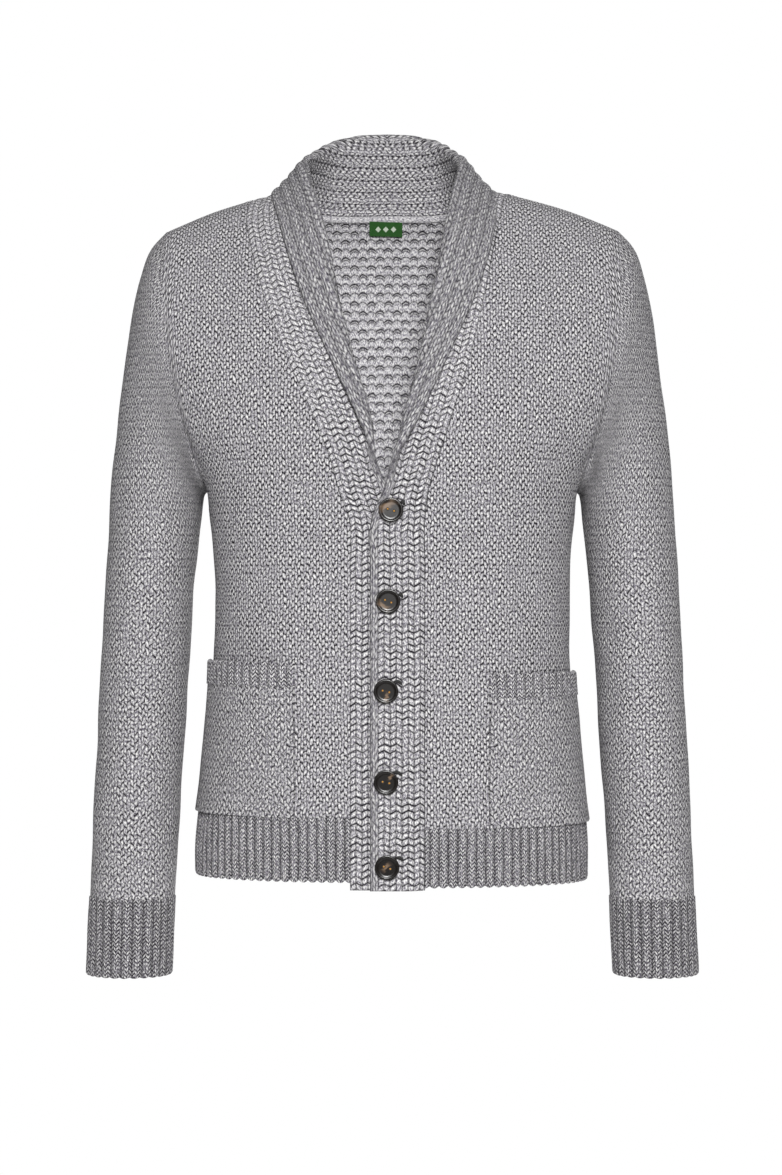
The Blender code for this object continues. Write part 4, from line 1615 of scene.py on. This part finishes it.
@dataclass(frozen=True)
class Horn:
    """Dark buffalo horn, sawn across, turned and polished.

    To the eye it is near black and glossy, with a brown streak where the horn's core was near. Each
    button is sawn from another place, so its streak lies differently. The streak's edge wanders over a
    few millimetres along the grain.
    """

    body: str = "#120f0d"
    between: str = "#2c241e"
    streak: str = "#6d5a48"
    roughness: float = 0.24
    ior: float = 1.55
    specular: float = 0.25
    wander: float = 7.0
    stretch: float = 2.6
    grain: Place = (0.12, 0.35, 1.0)

    def build(self, number: int, place: tuple[float, float], turn: float, width: float) -> bpy.types.Material:
        """Build the material of one button.

        Args:
            number: The button's number.
            place: Middle of the streak in millimetres from the button's centre.
            turn: Direction of the streak in degrees.
            width: Half its width in millimetres.

        Returns:
            The material.
        """
        g = Graph(f"horn_{number}")
        uv = g.add("UVMap", uv_map="knit")
        moved = g.add("Mapping", uv, (-place[0], -place[1], 0.0))
        spun = g.add("VectorRotate", moved, None, None, math.radians(-turn), rotation_type="Z_AXIS")
        fibres = g.add("Mapping", uv, (number * 7.0, 0.0, 0.0), None, self.grain)
        wave = g.add("TexNoise", fibres, None, 1.0, 3.0)
        along = g.add("SeparateXYZ", spun)
        across = along.node.outputs[1]
        bent = g.add("Math.MULTIPLY_ADD", g.add("Math.SUBTRACT", wave, 0.5), self.wander, across)
        near = g.add("Math.MULTIPLY", g.add("Math.ABSOLUTE", bent), 1.0 / width)
        far = g.add("Math.MULTIPLY", g.add("Math.ABSOLUTE", along), 1.0 / (width * self.stretch))
        reach = g.add("Math.MAXIMUM", near, far)
        stops = ((0.25, linear(self.streak)), (0.7, linear(self.between)), (1.0, linear(self.body)))
        g.link(g.add("ValToRGB", reach, stops=stops), "Base Color")
        g.set("Roughness", self.roughness)
        g.set("IOR", self.ior)
        g.set("Specular IOR Level", self.specular)
        return g.material


def plain_material(
    name: str, colour: str, roughness: float, sheen: float, grain: float
) -> bpy.types.Material:
    """Material of one colour with a fine grain, for thread, the painted shade inside a hole and the floor.

    Args:
        name: Its name.
        colour: Hex code of its colour.
        roughness: Its roughness.
        sheen: Weight of its sheen.
        grain: Grains to the metre.

    Returns:
        The material.
    """
    g = Graph(name)
    speckle = g.add("TexNoise", None, None, grain, 2.0)
    low, high = linear(colour), tuple(min(c * 1.25, 1.0) for c in linear(colour))
    g.link(g.add("ValToRGB", speckle, stops=((0.35, low), (0.65, high))), "Base Color")
    g.set("Roughness", roughness)
    g.set("Sheen Weight", sheen)
    return g.material


def add_mesh(
    name: str,
    vertices: Array,
    faces: Sequence[Sequence[int]],
    uv: Array,
    materials: Sequence[bpy.types.Material],
    chosen: Optional[Sequence[int]] = None,
) -> bpy.types.Mesh:
    """Mesh of a small piece.

    Args:
        name: Name of the piece.
        vertices: Points in millimetres.
        faces: Numbers of each face's points.
        uv: A knit coordinate for each point.
        materials: The piece's materials.
        chosen: Number of each face's material, if there is more than one.

    Returns:
        The mesh.
    """
    mesh = bpy.data.meshes.new(name)
    mesh.from_pydata((vertices * MM).tolist(), [], [list(face) for face in faces])
    layer = mesh.uv_layers.new(name="knit")
    index = np.zeros(len(mesh.loops), np.int32)
    mesh.loops.foreach_get("vertex_index", index)
    layer.uv.foreach_set("vector", uv[index].astype(np.float32).ravel())
    for material in materials:
        mesh.materials.append(material)
    if chosen is not None:
        mesh.polygons.foreach_set("material_index", np.asarray(chosen, np.int32))
    mesh.shade_smooth()
    mesh.set_sharp_from_angle(angle=math.radians(SHARP_TRIM))
    return mesh


def ring(radius: float, height: float, sides: int, x: float = 0.0, y: float = 0.0) -> Array:
    """Ring of points round an upright line.

    Args:
        radius: Radius of the ring.
        height: Its height.
        sides: Number of its points.
        x: Where the line stands.
        y: Where it stands, across.

    Returns:
        The points.
    """
    angles = np.linspace(0.0, 2.0 * math.pi, sides, endpoint=False)
    around = (x + radius * np.cos(angles), y + radius * np.sin(angles), np.full(sides, height))
    return np.stack(around, axis=1)


def ring_faces(count: int, sides: int, start: int = 0) -> list[tuple[int, ...]]:
    """Faces between rings of points that follow each other.

    Args:
        count: Number of rings.
        sides: Points in a ring.
        start: Number of the first point.

    Returns:
        Faces with four points each.
    """
    faces = []
    for low in range(start, start + (count - 1) * sides, sides):
        for j in range(sides):
            k = (j + 1) % sides
            faces.append((low + j, low + k, low + sides + k, low + sides + j))
    return faces


def swept(path: Array, radius: float, sides: int, flatten: float = 1.0) -> tuple[Array, list, Array]:
    """Round cord along a path.

    Args:
        path: Middle points in millimetres.
        radius: Radius of the cord.
        sides: Number of its sides.
        flatten: Share of the radius that is left along Y.

    Returns:
        Vertices, faces and knit coordinates.
    """
    count = len(path)
    ahead = unit(np.gradient(path, axis=0))
    up = np.array((0.0, -1.0, 0.25))
    one = unit(np.cross(ahead, up))
    two = unit(np.cross(one, ahead))
    angles = np.linspace(0.0, 2.0 * math.pi, sides, endpoint=False)
    wide, thick = np.cos(angles)[None, :, None], np.sin(angles)[None, :, None] * flatten
    around = one[:, None] * wide + two[:, None] * thick
    vertices = (path[:, None] + around * radius).reshape(-1, 3)
    gone = np.concatenate([[0.0], np.cumsum(np.linalg.norm(np.diff(path, axis=0), axis=1))])
    uv = np.stack([np.tile(angles * radius, count), np.repeat(gone, sides)], axis=1)
    faces = ring_faces(count, sides)
    faces.append(tuple(range(sides))[::-1])
    faces.append(tuple(range((count - 1) * sides, count * sides)))
    return vertices, faces, uv


@dataclass(frozen=True)
class ButtonLook:
    """Where a button lies, how its holes and streak are turned, and where its buttonhole shows.

    The streak is the place of its middle from the button's centre, turn its direction and width half its
    width. Hole is how far to the right and up of the button the buttonhole shows, and its length.
    """

    x: float
    z: float
    tilt: float
    streak: tuple[float, float]
    turn: float
    width: float
    hole: tuple[float, float, float]


@dataclass(frozen=True)
class Buttons:
    """Two-hole horn coat buttons, 36 line, sewn on with amber thread through worked eyelets in the band."""

    radius: float = 11.3
    thickness: float = 3.6
    dish: float = 0.6
    rim: float = 1.7
    edge_round: float = 1.1
    edge_height: float = 0.7
    spacing: float = 6.2
    clearance: float = 1.6
    sides: int = 64
    thread_sides: int = 16
    cord_sides: int = 10
    cord_flat: float = 0.35
    cord_half_width: float = 1.75
    hole_steps: int = 13
    hole_bow: float = 1.3
    hole_drop: float = 2.2
    hole_off_cloth: float = 0.3
    looks: tuple[ButtonLook, ...] = (
        ButtonLook(-1.0, -286, -17, (-3.5, 4.0), 28, 4.6, (10.8, 6.5, 4.0)),
        ButtonLook(-3.5, -369, -22, (-4.5, -4.0), -35, 3.4, (11.3, 5.2, 4.0)),
        ButtonLook(-5.5, -451, -14, (0.5, -5.0), 82, 2.4, (10.6, 8.2, 8.2)),
        ButtonLook(-5.5, -534, -12, (4.0, 5.0), 60, 1.8, (10.6, 8.0, 8.2)),
        ButtonLook(-4.5, -612, -20, (-1.0, 0.5), 48, 2.6, (10.8, 8.0, 8.6)),
    )

    # Radius and height over the dished face of a hole's mouth, painted near black as the shade in the hole,
    # then of the knot of thread in it.
    mouth: tuple[tuple[float, float], ...] = ((1.495, -0.3), (1.495, 0.06), (0.82, 0.06))
    knot: tuple[tuple[float, float], ...] = ((0.82, 0.3), (0.55, 0.62), (0.18, 0.75))

    def profile(self) -> list[tuple[float, float]]:
        """Half outline of a button.

        Returns:
            Radius and height from the back centre, round the rim, to the middle of the dished face.
        """
        half, edge = self.thickness / 2.0, self.radius
        line = [(0.0, -half), (edge - self.edge_round, -half)]
        for i in range(7):
            turn = math.radians(-90.0 + 30.0 * i)
            upper = (half - self.edge_height) * ((i > 3) - (i < 3))
            out = edge - self.edge_round + self.edge_round * math.cos(turn)
            line.append((out, self.edge_height * math.sin(turn) + upper))
        steps = ((0.0, 0.0), (0.5, 0.25), (1.3, 0.85), (2.4, 1.0), (2.9, 1.0))
        line += [(edge - self.rim - inward, half - self.dish * share) for inward, share in steps]
        return line + [(0.0, half - self.dish)]

    def centre(self, look: ButtonLook) -> Array:
        """Middle of a button, a little off the band.

        Args:
            look: The button's look.

        Returns:
            The point.
        """
        cloth = FORM.point(Face.FRONT, look.z - FORM.armpit_z, look.x)
        out = FORM.wall * 1.5 + FORM.layer_gap + self.clearance + self.thickness / 2.0
        return cloth - np.array((0.0, out, 0.0))

    def place(self, local: Array, look: ButtonLook) -> Array:
        """Points from a button's own frame, face up along Z, to the garment's. The face looks to -Y."""
        return self.centre(look) + np.stack([local[:, 0], -local[:, 2], local[:, 1]], axis=1)

    def build(self) -> list[bpy.types.Object]:
        """Build every button with its holes and thread, and its buttonhole.

        Returns:
            The pieces.
        """
        thread = plain_material("waxed_amber_thread", "#b07a26", 0.45, 0.1, 900.0)
        # Near black painted shade for the inside of the thread holes and of the buttonholes.
        dark = plain_material("thread_hole", "#060505", 0.7, 0.0, 500.0)
        made = []
        for number, look in enumerate(self.looks, start=1):
            made.append(self.disc(number, look))
            made.append(self.holes(number, look, thread, dark))
            made.append(self.buttonhole(number, look, dark))
        return made

    def disc(self, number: int, look: ButtonLook) -> bpy.types.Object:
        """Turned disc of one button.

        Args:
            number: The button's number.
            look: Its look.

        Returns:
            The piece.
        """
        profile = self.profile()
        rings = [ring(radius, height, self.sides) for radius, height in profile[1:-1]]
        back, face = (np.array([[0.0, 0.0, height]]) for height in (profile[0][1], profile[-1][1]))
        local = np.concatenate([back] + rings + [face])
        last = len(local) - 1
        start = last - self.sides
        faces = [(0, 1 + (j + 1) % self.sides, 1 + j) for j in range(self.sides)]
        faces += ring_faces(len(rings), self.sides, 1)
        faces += [(start + j, start + (j + 1) % self.sides, last) for j in range(self.sides)]
        name = f"horn_button_{number}"
        material = Horn().build(number, look.streak, look.turn, look.width)
        mesh = add_mesh(name, self.place(local, look), faces, local[:, :2], [material])
        return place_object(name, mesh, f"button_{number}")

    def holes(
        self, number: int, look: ButtonLook, thread: bpy.types.Material, dark: bpy.types.Material
    ) -> bpy.types.Object:
        """Mouth of each thread hole, painted near black as the shade inside it, with the knot of thread
        that fills most of it.

        Args:
            number: The button's number.
            look: Its look.
            thread: Finish of the thread.
            dark: Painted shade of the mouth.

        Returns:
            The piece.
        """
        height = self.thickness / 2.0 - self.dish
        turn = math.radians(look.tilt)
        sides = self.thread_sides
        outline = self.mouth + self.knot
        vertices, faces, chosen = [], [], []
        for way in (-self.spacing / 2.0, self.spacing / 2.0):
            x, y = way * math.cos(turn), way * math.sin(turn)
            start = len(vertices) * sides
            vertices += [ring(radius, height + up, sides, x, y) for radius, up in outline]
            faces += ring_faces(len(outline), sides, start)
            chosen += [int(i < 2) for i in range(len(outline) - 1) for _ in range(sides)]
            top = start + (len(outline) - 1) * sides
            faces += [tuple(range(top, top + sides)), tuple(range(start, start + sides))[::-1]]
            chosen += [0, 1]
        local = np.concatenate(vertices)
        name = f"thread_{number}"
        mesh = add_mesh(name, self.place(local, look), faces, local[:, :2], [thread, dark], chosen)
        return place_object(name, mesh)

    def buttonhole(self, number: int, look: ButtonLook, dark: bpy.types.Material) -> bpy.types.Object:
        """Open end of a worked buttonhole that shows beside its button, as a flat cord of painted shade.

        Args:
            number: The button's number.
            look: Its look.
            dark: Painted shade of the inside of the hole.

        Returns:
            The piece.
        """
        right, up, length = look.hole
        share = np.linspace(0.0, 1.0, self.hole_steps)
        x = look.x + right + (share - 0.5) * length
        z = look.z + up + self.hole_bow * np.sin(share * math.pi) - self.hole_drop * share**2
        path = np.array([FORM.point(Face.FRONT, level - FORM.armpit_z, at) for at, level in zip(x, z)])
        path[:, 1] -= FORM.wall * 1.5 + FORM.layer_gap + self.hole_off_cloth
        width = self.cord_half_width * np.sqrt(np.maximum(np.sin(share * math.pi), 0.08))
        vertices, faces, uv = swept(path, 1.0, self.cord_sides)
        middle = np.repeat(path, self.cord_sides, axis=0)
        wide = np.repeat(width, self.cord_sides)[:, None] * np.array((1.0, self.cord_flat, 1.0))
        name = f"buttonhole_{number}"
        # The cord is painted near black for the shade inside the open buttonhole.
        mesh = add_mesh(name, middle + (vertices - middle) * wide, faces, uv, [dark])
        return place_object(name, mesh)


@dataclass(frozen=True)
class Label:
    """Woven neck label, folded under at its ends and sewn below the back neck seam.

    Green polyester damask: fine weft floats give it a low gloss and faint streaks along the weft. The
    three pale lozenges are picked out in a second weft.
    """

    columns: tuple[float, ...] = (-22.0, -14.0, -6.0, 2.0, 10.0)
    rows: int = 5
    length: float = 16.0
    drop: float = -2.0
    wall: float = 0.9
    off_cloth: float = 1.2
    tilt: float = 0.7
    pitch: float = 7.5
    mark: float = 2.7
    deep: str = "#0e3a08"
    bright: str = "#256119"
    pale: str = "#c3cfbd"
    roughness: float = 0.55
    sheen: float = 0.2
    weft_grain: Place = (0.6, 6.0, 1.0)

    def grid(self, back: Panel) -> Array:
        """Points of the label on the back panel, tilted a little and hung from the neck seam.

        Args:
            back: The back panel.

        Returns:
            Rows from the label's lower border to its upper one.
        """
        middle = back.points.shape[1] // 2
        top, below = back.points[-1], back.points[-2]
        centre, half = self.columns[2], (self.columns[-1] - self.columns[0]) / 2.0
        rows = []
        for share in np.linspace(0.0, 1.0, self.rows):
            row = []
            for x in self.columns:
                other = middle - 1 if x > 0.0 else middle + 1
                part = x / top[other][0]
                upper = mix(top[middle], top[other], part)
                lower = mix(below[middle], below[other], part)
                away = self.drop + self.length * (1.0 - share) + self.tilt * (x - centre) / half
                row.append(upper + unit(lower - upper) * away)
            rows.append(row)
        return np.array(rows)

    def build(self, back: Panel) -> bpy.types.Object:
        """Build the label on the inside of the back panel.

        Args:
            back: The back panel.

        Returns:
            The piece.
        """
        grid = self.grid(back)
        inward = unit(np.cross(grid[0, -1] - grid[0, 0], grid[-1, 0] - grid[0, 0]))
        inward = inward if inward[1] < 0.0 else -inward
        grid = grid + inward * (FORM.wall / 2.0 + self.off_cloth)
        tall, wide = grid.shape[:2]
        count = tall * wide
        near = (grid + inward * self.wall / 2.0).reshape(-1, 3)
        far = (grid - inward * self.wall / 2.0).reshape(-1, 3)
        faces = []
        for i in range(tall - 1):
            for j in range(wide - 1):
                a, b, c, d = i * wide + j, i * wide + j + 1, (i + 1) * wide + j + 1, (i + 1) * wide + j
                faces += [(a, b, c, d), (count + d, count + c, count + b, count + a)]
        border = list(range(wide)) + [i * wide + wide - 1 for i in range(1, tall)]
        border += [count - 1 - j for j in range(1, wide)] + [i * wide for i in range(tall - 2, 0, -1)]
        faces += [(b, a, count + a, count + b) for a, b in zip(border, border[1:] + border[:1])]
        flat = grid.reshape(-1, 3)
        uv = np.stack([flat[:, 0] - self.columns[2], flat[:, 2] - flat[:, 2].mean()], axis=1)
        vertices, both = np.concatenate([near, far]), np.concatenate([uv, uv])
        mesh = add_mesh("neck_label", vertices, faces, both, [self.material()])
        return place_object("neck_label", mesh, "label")

    def material(self) -> bpy.types.Material:
        """Weave of the label, with its lozenges.

        Returns:
            The material.
        """
        g = Graph("label_weave")
        uv = g.add("UVMap", uv_map="knit")
        u = g.add("SeparateXYZ", uv)
        v = u.node.outputs[1]
        near = g.add("Math.FRACT", g.add("Math.MULTIPLY_ADD", u, 1.0 / self.pitch, 0.5))
        near = g.add("Math.MULTIPLY", g.add("Math.ABSOLUTE", g.add("Math.SUBTRACT", near, 0.5)), self.pitch)
        inside = g.add("Math.LESS_THAN", g.add("Math.ADD", near, g.add("Math.ABSOLUTE", v)), self.mark)
        limit = g.add("Math.LESS_THAN", g.add("Math.ABSOLUTE", u), self.pitch * 1.5)
        mark = g.add("Math.MULTIPLY", inside, limit)
        weft = g.add("TexNoise", g.add("Mapping", uv, None, None, self.weft_grain), None, 1.0, 2.0)
        ground = g.add("ValToRGB", weft, stops=((0.3, linear(self.deep)), (0.7, linear(self.bright))))
        final = g.add("Mix", mark, *BEFORE_COLOURS, ground, linear(self.pale), data_type="RGBA")
        g.link(final.node.outputs[MIXED_COLOUR], "Base Color")
        g.set("Roughness", self.roughness)
        g.set("Sheen Weight", self.sheen)
        return g.material


@dataclass(frozen=True)
class NeckSeam:
    """Linked seam along the back neck, a smooth rolled ridge on the inside of the garment."""

    radius: float = 3.4
    reach: float = 0.93
    count: int = 61
    sides: int = 12
    flatten: float = 0.55
    off_cloth: float = 1.2
    rise: float = 4.5

    def build(self, material: bpy.types.Material) -> bpy.types.Object:
        """Build the ridge just inside the neck seam.

        Args:
            material: Its finish.

        Returns:
            The piece.
        """
        path = []
        for share in np.linspace(-self.reach, self.reach, self.count):
            side = LEFT if share > 0.0 else RIGHT
            point = FORM.neck_point(side, abs(share))
            normal = FORM.normal(Face.BACK, FORM.neck_level(abs(share)) - 0.5, point[0])
            path.append(point - normal * (FORM.wall / 2.0 + self.off_cloth) + np.array((0.0, 0.0, self.rise)))
        vertices, faces, uv = swept(np.array(path), self.radius, self.sides, self.flatten)
        mesh = add_mesh("neck_seam", vertices, faces, uv, [material])
        return place_object("neck_seam", mesh)


@dataclass(frozen=True)
class Softbox:
    """Square lamp with its place and aim in metres, its size and its power in watts."""

    name: str
    place: Place
    aim: Place
    size: float
    power: float

    def build(self) -> None:
        """Hang the lamp and turn it so that it shines at its aim."""
        data = bpy.data.lights.new(self.name, "AREA")
        data.energy = self.power
        data.size = self.size
        lamp = bpy.data.objects.new(self.name, data)
        bpy.context.scene.collection.objects.link(lamp)
        lamp.location = self.place
        way = np.array(self.aim) - np.array(lamp.location)
        flat = math.hypot(way[0], way[1])
        lamp.rotation_euler = (math.atan2(flat, -way[2]), 0.0, math.atan2(way[1], way[0]) - math.pi / 2.0)


@dataclass(frozen=True)
class Studio:
    """Pale floor, soft lamps and the camera, straight in front at the height of the chest.

    The floor lies where the wearer would stand. The surroundings look white and give a weak even light.
    """

    floor_z: float = -1.42
    floor_size: float = 4.4
    camera_place: Place = (0.0, -3.0, -0.3565)
    lens: float = 96.75
    sensor: float = 36.0
    shift_x: float = -0.00085
    ambient: float = 0.14
    backdrop: float = 1.0
    lamps: tuple[Softbox, ...] = (
        Softbox("front_softbox", (0.25, -5.1, 0.98), (0.0, 0.0, -0.36), 0.9, 312.0),
        Softbox("top_softbox", (0.1, -0.8, 2.6), (0.0, 0.0, -0.2), 1.8, 9.0),
        Softbox("back_softbox", (0.4, 3.4, 0.6), (0.0, 0.0, -0.32), 1.7, 150.0),
    )

    def build(self) -> None:
        """Build the floor, the lamps, the surroundings and the camera."""
        self.floor()
        for lamp in self.lamps:
            lamp.build()
        self.surroundings()
        self.camera()

    def floor(self) -> None:
        """Lay the floor: matt painted board, so pale that only its far border shows."""
        mesh = bpy.data.meshes.new("floor")
        half, z = self.floor_size / 2.0, self.floor_z
        corners = [(-half, -half, z), (half, -half, z), (half, half, z), (-half, half, z)]
        mesh.from_pydata(corners, [], [(0, 1, 2, 3)])
        floor = bpy.data.objects.new("floor", mesh)
        bpy.context.scene.collection.objects.link(floor)
        mesh.materials.append(plain_material("painted_floor", "#f2f2f2", 0.8, 0.0, 3.0))

    def surroundings(self) -> None:
        """Set the white that is seen past the garment and the weak light that comes from all sides."""
        world = bpy.data.worlds.new("studio")
        bpy.context.scene.world = world
        world.use_nodes = True
        tree = world.node_tree
        tree.nodes.clear()
        output = tree.nodes.new("ShaderNodeOutputWorld")
        blend = tree.nodes.new("ShaderNodeMixShader")
        path = tree.nodes.new("ShaderNodeLightPath")
        for index, strength in ((1, self.ambient), (2, self.backdrop)):
            light = tree.nodes.new("ShaderNodeBackground")
            light.inputs["Color"].default_value = (1.0, 1.0, 1.0, 1.0)
            light.inputs["Strength"].default_value = strength
            tree.links.new(light.outputs[0], blend.inputs[index])
        tree.links.new(path.outputs["Is Camera Ray"], blend.inputs[0])
        tree.links.new(blend.outputs[0], output.inputs[0])

    def camera(self) -> None:
        """Set up the camera, level and square to the garment."""
        data = bpy.data.cameras.new("camera")
        data.sensor_fit = "VERTICAL"
        data.sensor_height = self.sensor
        data.lens = self.lens
        data.shift_x = self.shift_x
        camera = bpy.data.objects.new("camera", data)
        bpy.context.scene.collection.objects.link(camera)
        camera.location = self.camera_place
        camera.rotation_euler = (math.pi / 2.0, 0.0, 0.0)
        bpy.context.scene.camera = camera
        bpy.context.scene.view_settings.view_transform = "Standard"


@dataclass(frozen=True)
class Cut:
    """Flat width and length of one piece in metres, and the area of its cloth after shaping."""

    width: float
    length: float
    area: float


CUTS = {
    "back": Cut(0.50, 0.64, 0.262),
    "front_left": Cut(0.20, 0.62, 0.099),
    "front_right": Cut(0.19, 0.60, 0.087),
    "sleeve": Cut(0.39, 0.63, 0.158),
    "hem_back": Cut(0.49, 0.06, 0.02793),
    "hem_front_left": Cut(0.21, 0.06, 0.01197),
    "hem_front_right": Cut(0.20, 0.06, 0.0114),
    "cuff": Cut(0.25, 0.074, 0.0185),
    "band_collar": Cut(0.19, 0.88, 0.075),
    "pocket": Cut(0.14, 0.12, 0.0165),
    "pocket_rib": Cut(0.14, 0.023, 0.0031),
}


class Cardigan:
    """The whole garment: its knitted walls, buttons, label and neck seam."""

    seed = 3

    def __init__(self) -> None:
        """Work out the form and build the finishes. Each set of ribs has its pitch and depth."""
        self.hem_ribs = ribs(8.6, 1.7)
        self.cuff_ribs = ribs(9.6, 2.0)
        self.band_ribs = ribs(10.9, 1.3)
        self.collar_ribs = ribs(10.6, 1.9)
        self.pocket_ribs = ribs(9.6, 1.6)
        self.pocket_rib_lining = ribs(9.6, 1.0)
        self.panels = make_panels()
        self.finishes = {name: getattr(Knits(), name).build() for name in KNITS}

    def knit(self, panel: Panel, outer: str, inner: str, slot: str, cut: str, **settings: Any) -> None:
        """Build one knitted piece.

        Args:
            panel: Its panel.
            outer: Name of the finish outside.
            inner: Name of the finish inside.
            slot: Name of a material slot; it is not used.
            cut: Name of its cut.
            **settings: Other fields of Cloth.
        """
        size = CUTS[cut]
        faces = self.finishes[outer], self.finishes[inner]
        Cloth(panel, *faces, slot, (size.width, size.length), size.area, seed=self.seed, **settings).build()

    def body(self) -> None:
        """Build the back, the fronts and the sleeves."""
        for name in ("back", "front_left", "front_right"):
            self.knit(self.panels[name], "body", "purl", "body_knit", name)
        for side in SIDES:
            self.knit(self.panels["sleeve_" + side.name], "sleeve", "purl", "body_knit", "sleeve")

    def ribs(self) -> None:
        """Build the hem and cuff ribs."""
        both = {"relief": self.hem_ribs, "lining": self.hem_ribs}
        for name in ("hem_back", "hem_front_left", "hem_front_right"):
            hem = self.panels[name]
            self.knit(hem, "hem", "hem", "rib_knit", name, across=1.2, along=3.0, scallop=1.4, **both)
        both = {"relief": self.cuff_ribs, "lining": self.cuff_ribs}
        for side in SIDES:
            cuff = self.panels["cuff_" + side.name]
            self.knit(cuff, "cuff", "cuff", "rib_knit", "cuff", across=1.2, along=4.0, scallop=0.8, **both)

    def bands(self) -> None:
        """Build the front bands with the shawl collar."""
        for side in SIDES:
            self.knit(
                self.panels["band_collar_" + side.name], "band", "collar", "band_knit", "band_collar",
                across=1.5, along=3.0, relief=self.band_ribs, lining=self.collar_ribs, unevenness=0.7,
                creased=False, fall=self.finishes["lapel"],
            )

    def pockets(self) -> None:
        """Build the patch pockets and their ribs."""
        maker = Pockets()
        for side in SIDES:
            front = self.panels["front_" + side.name]
            patch = maker.panel("pocket_" + side.name, front, 0, maker.rib_row, False)
            rib = maker.panel("pocket_rib_" + side.name, front, maker.rib_row, maker.top_row, True)
            self.knit(patch, "sleeve", "purl", "body_knit", "pocket", wall=maker.wall)
            self.knit(
                rib, "pocket_rib", "pocket_rib", "rib_knit", "pocket_rib", across=1.2, along=2.0,
                wall=maker.wall, relief=self.pocket_ribs, lining=self.pocket_rib_lining, lift=0.4,
                scallop=1.2,
            )

    def trims(self) -> None:
        """Build the buttons, the label and the neck seam."""
        made = Buttons().build()
        made.append(Label().build(self.panels["back"]))
        made.append(NeckSeam().build(self.finishes["cord"]))
        for piece in made:
            LOG.info("%s: %d faces", piece.name, len(piece.data.polygons))


def main() -> None:
    """Build the garment piece by piece, then the studio."""
    cardigan = Cardigan()
    cardigan.body()
    cardigan.ribs()
    cardigan.bands()
    cardigan.pockets()
    cardigan.trims()
    Studio().build()
    LOG.info("studio built")


if __name__ == "__main__":
    main()
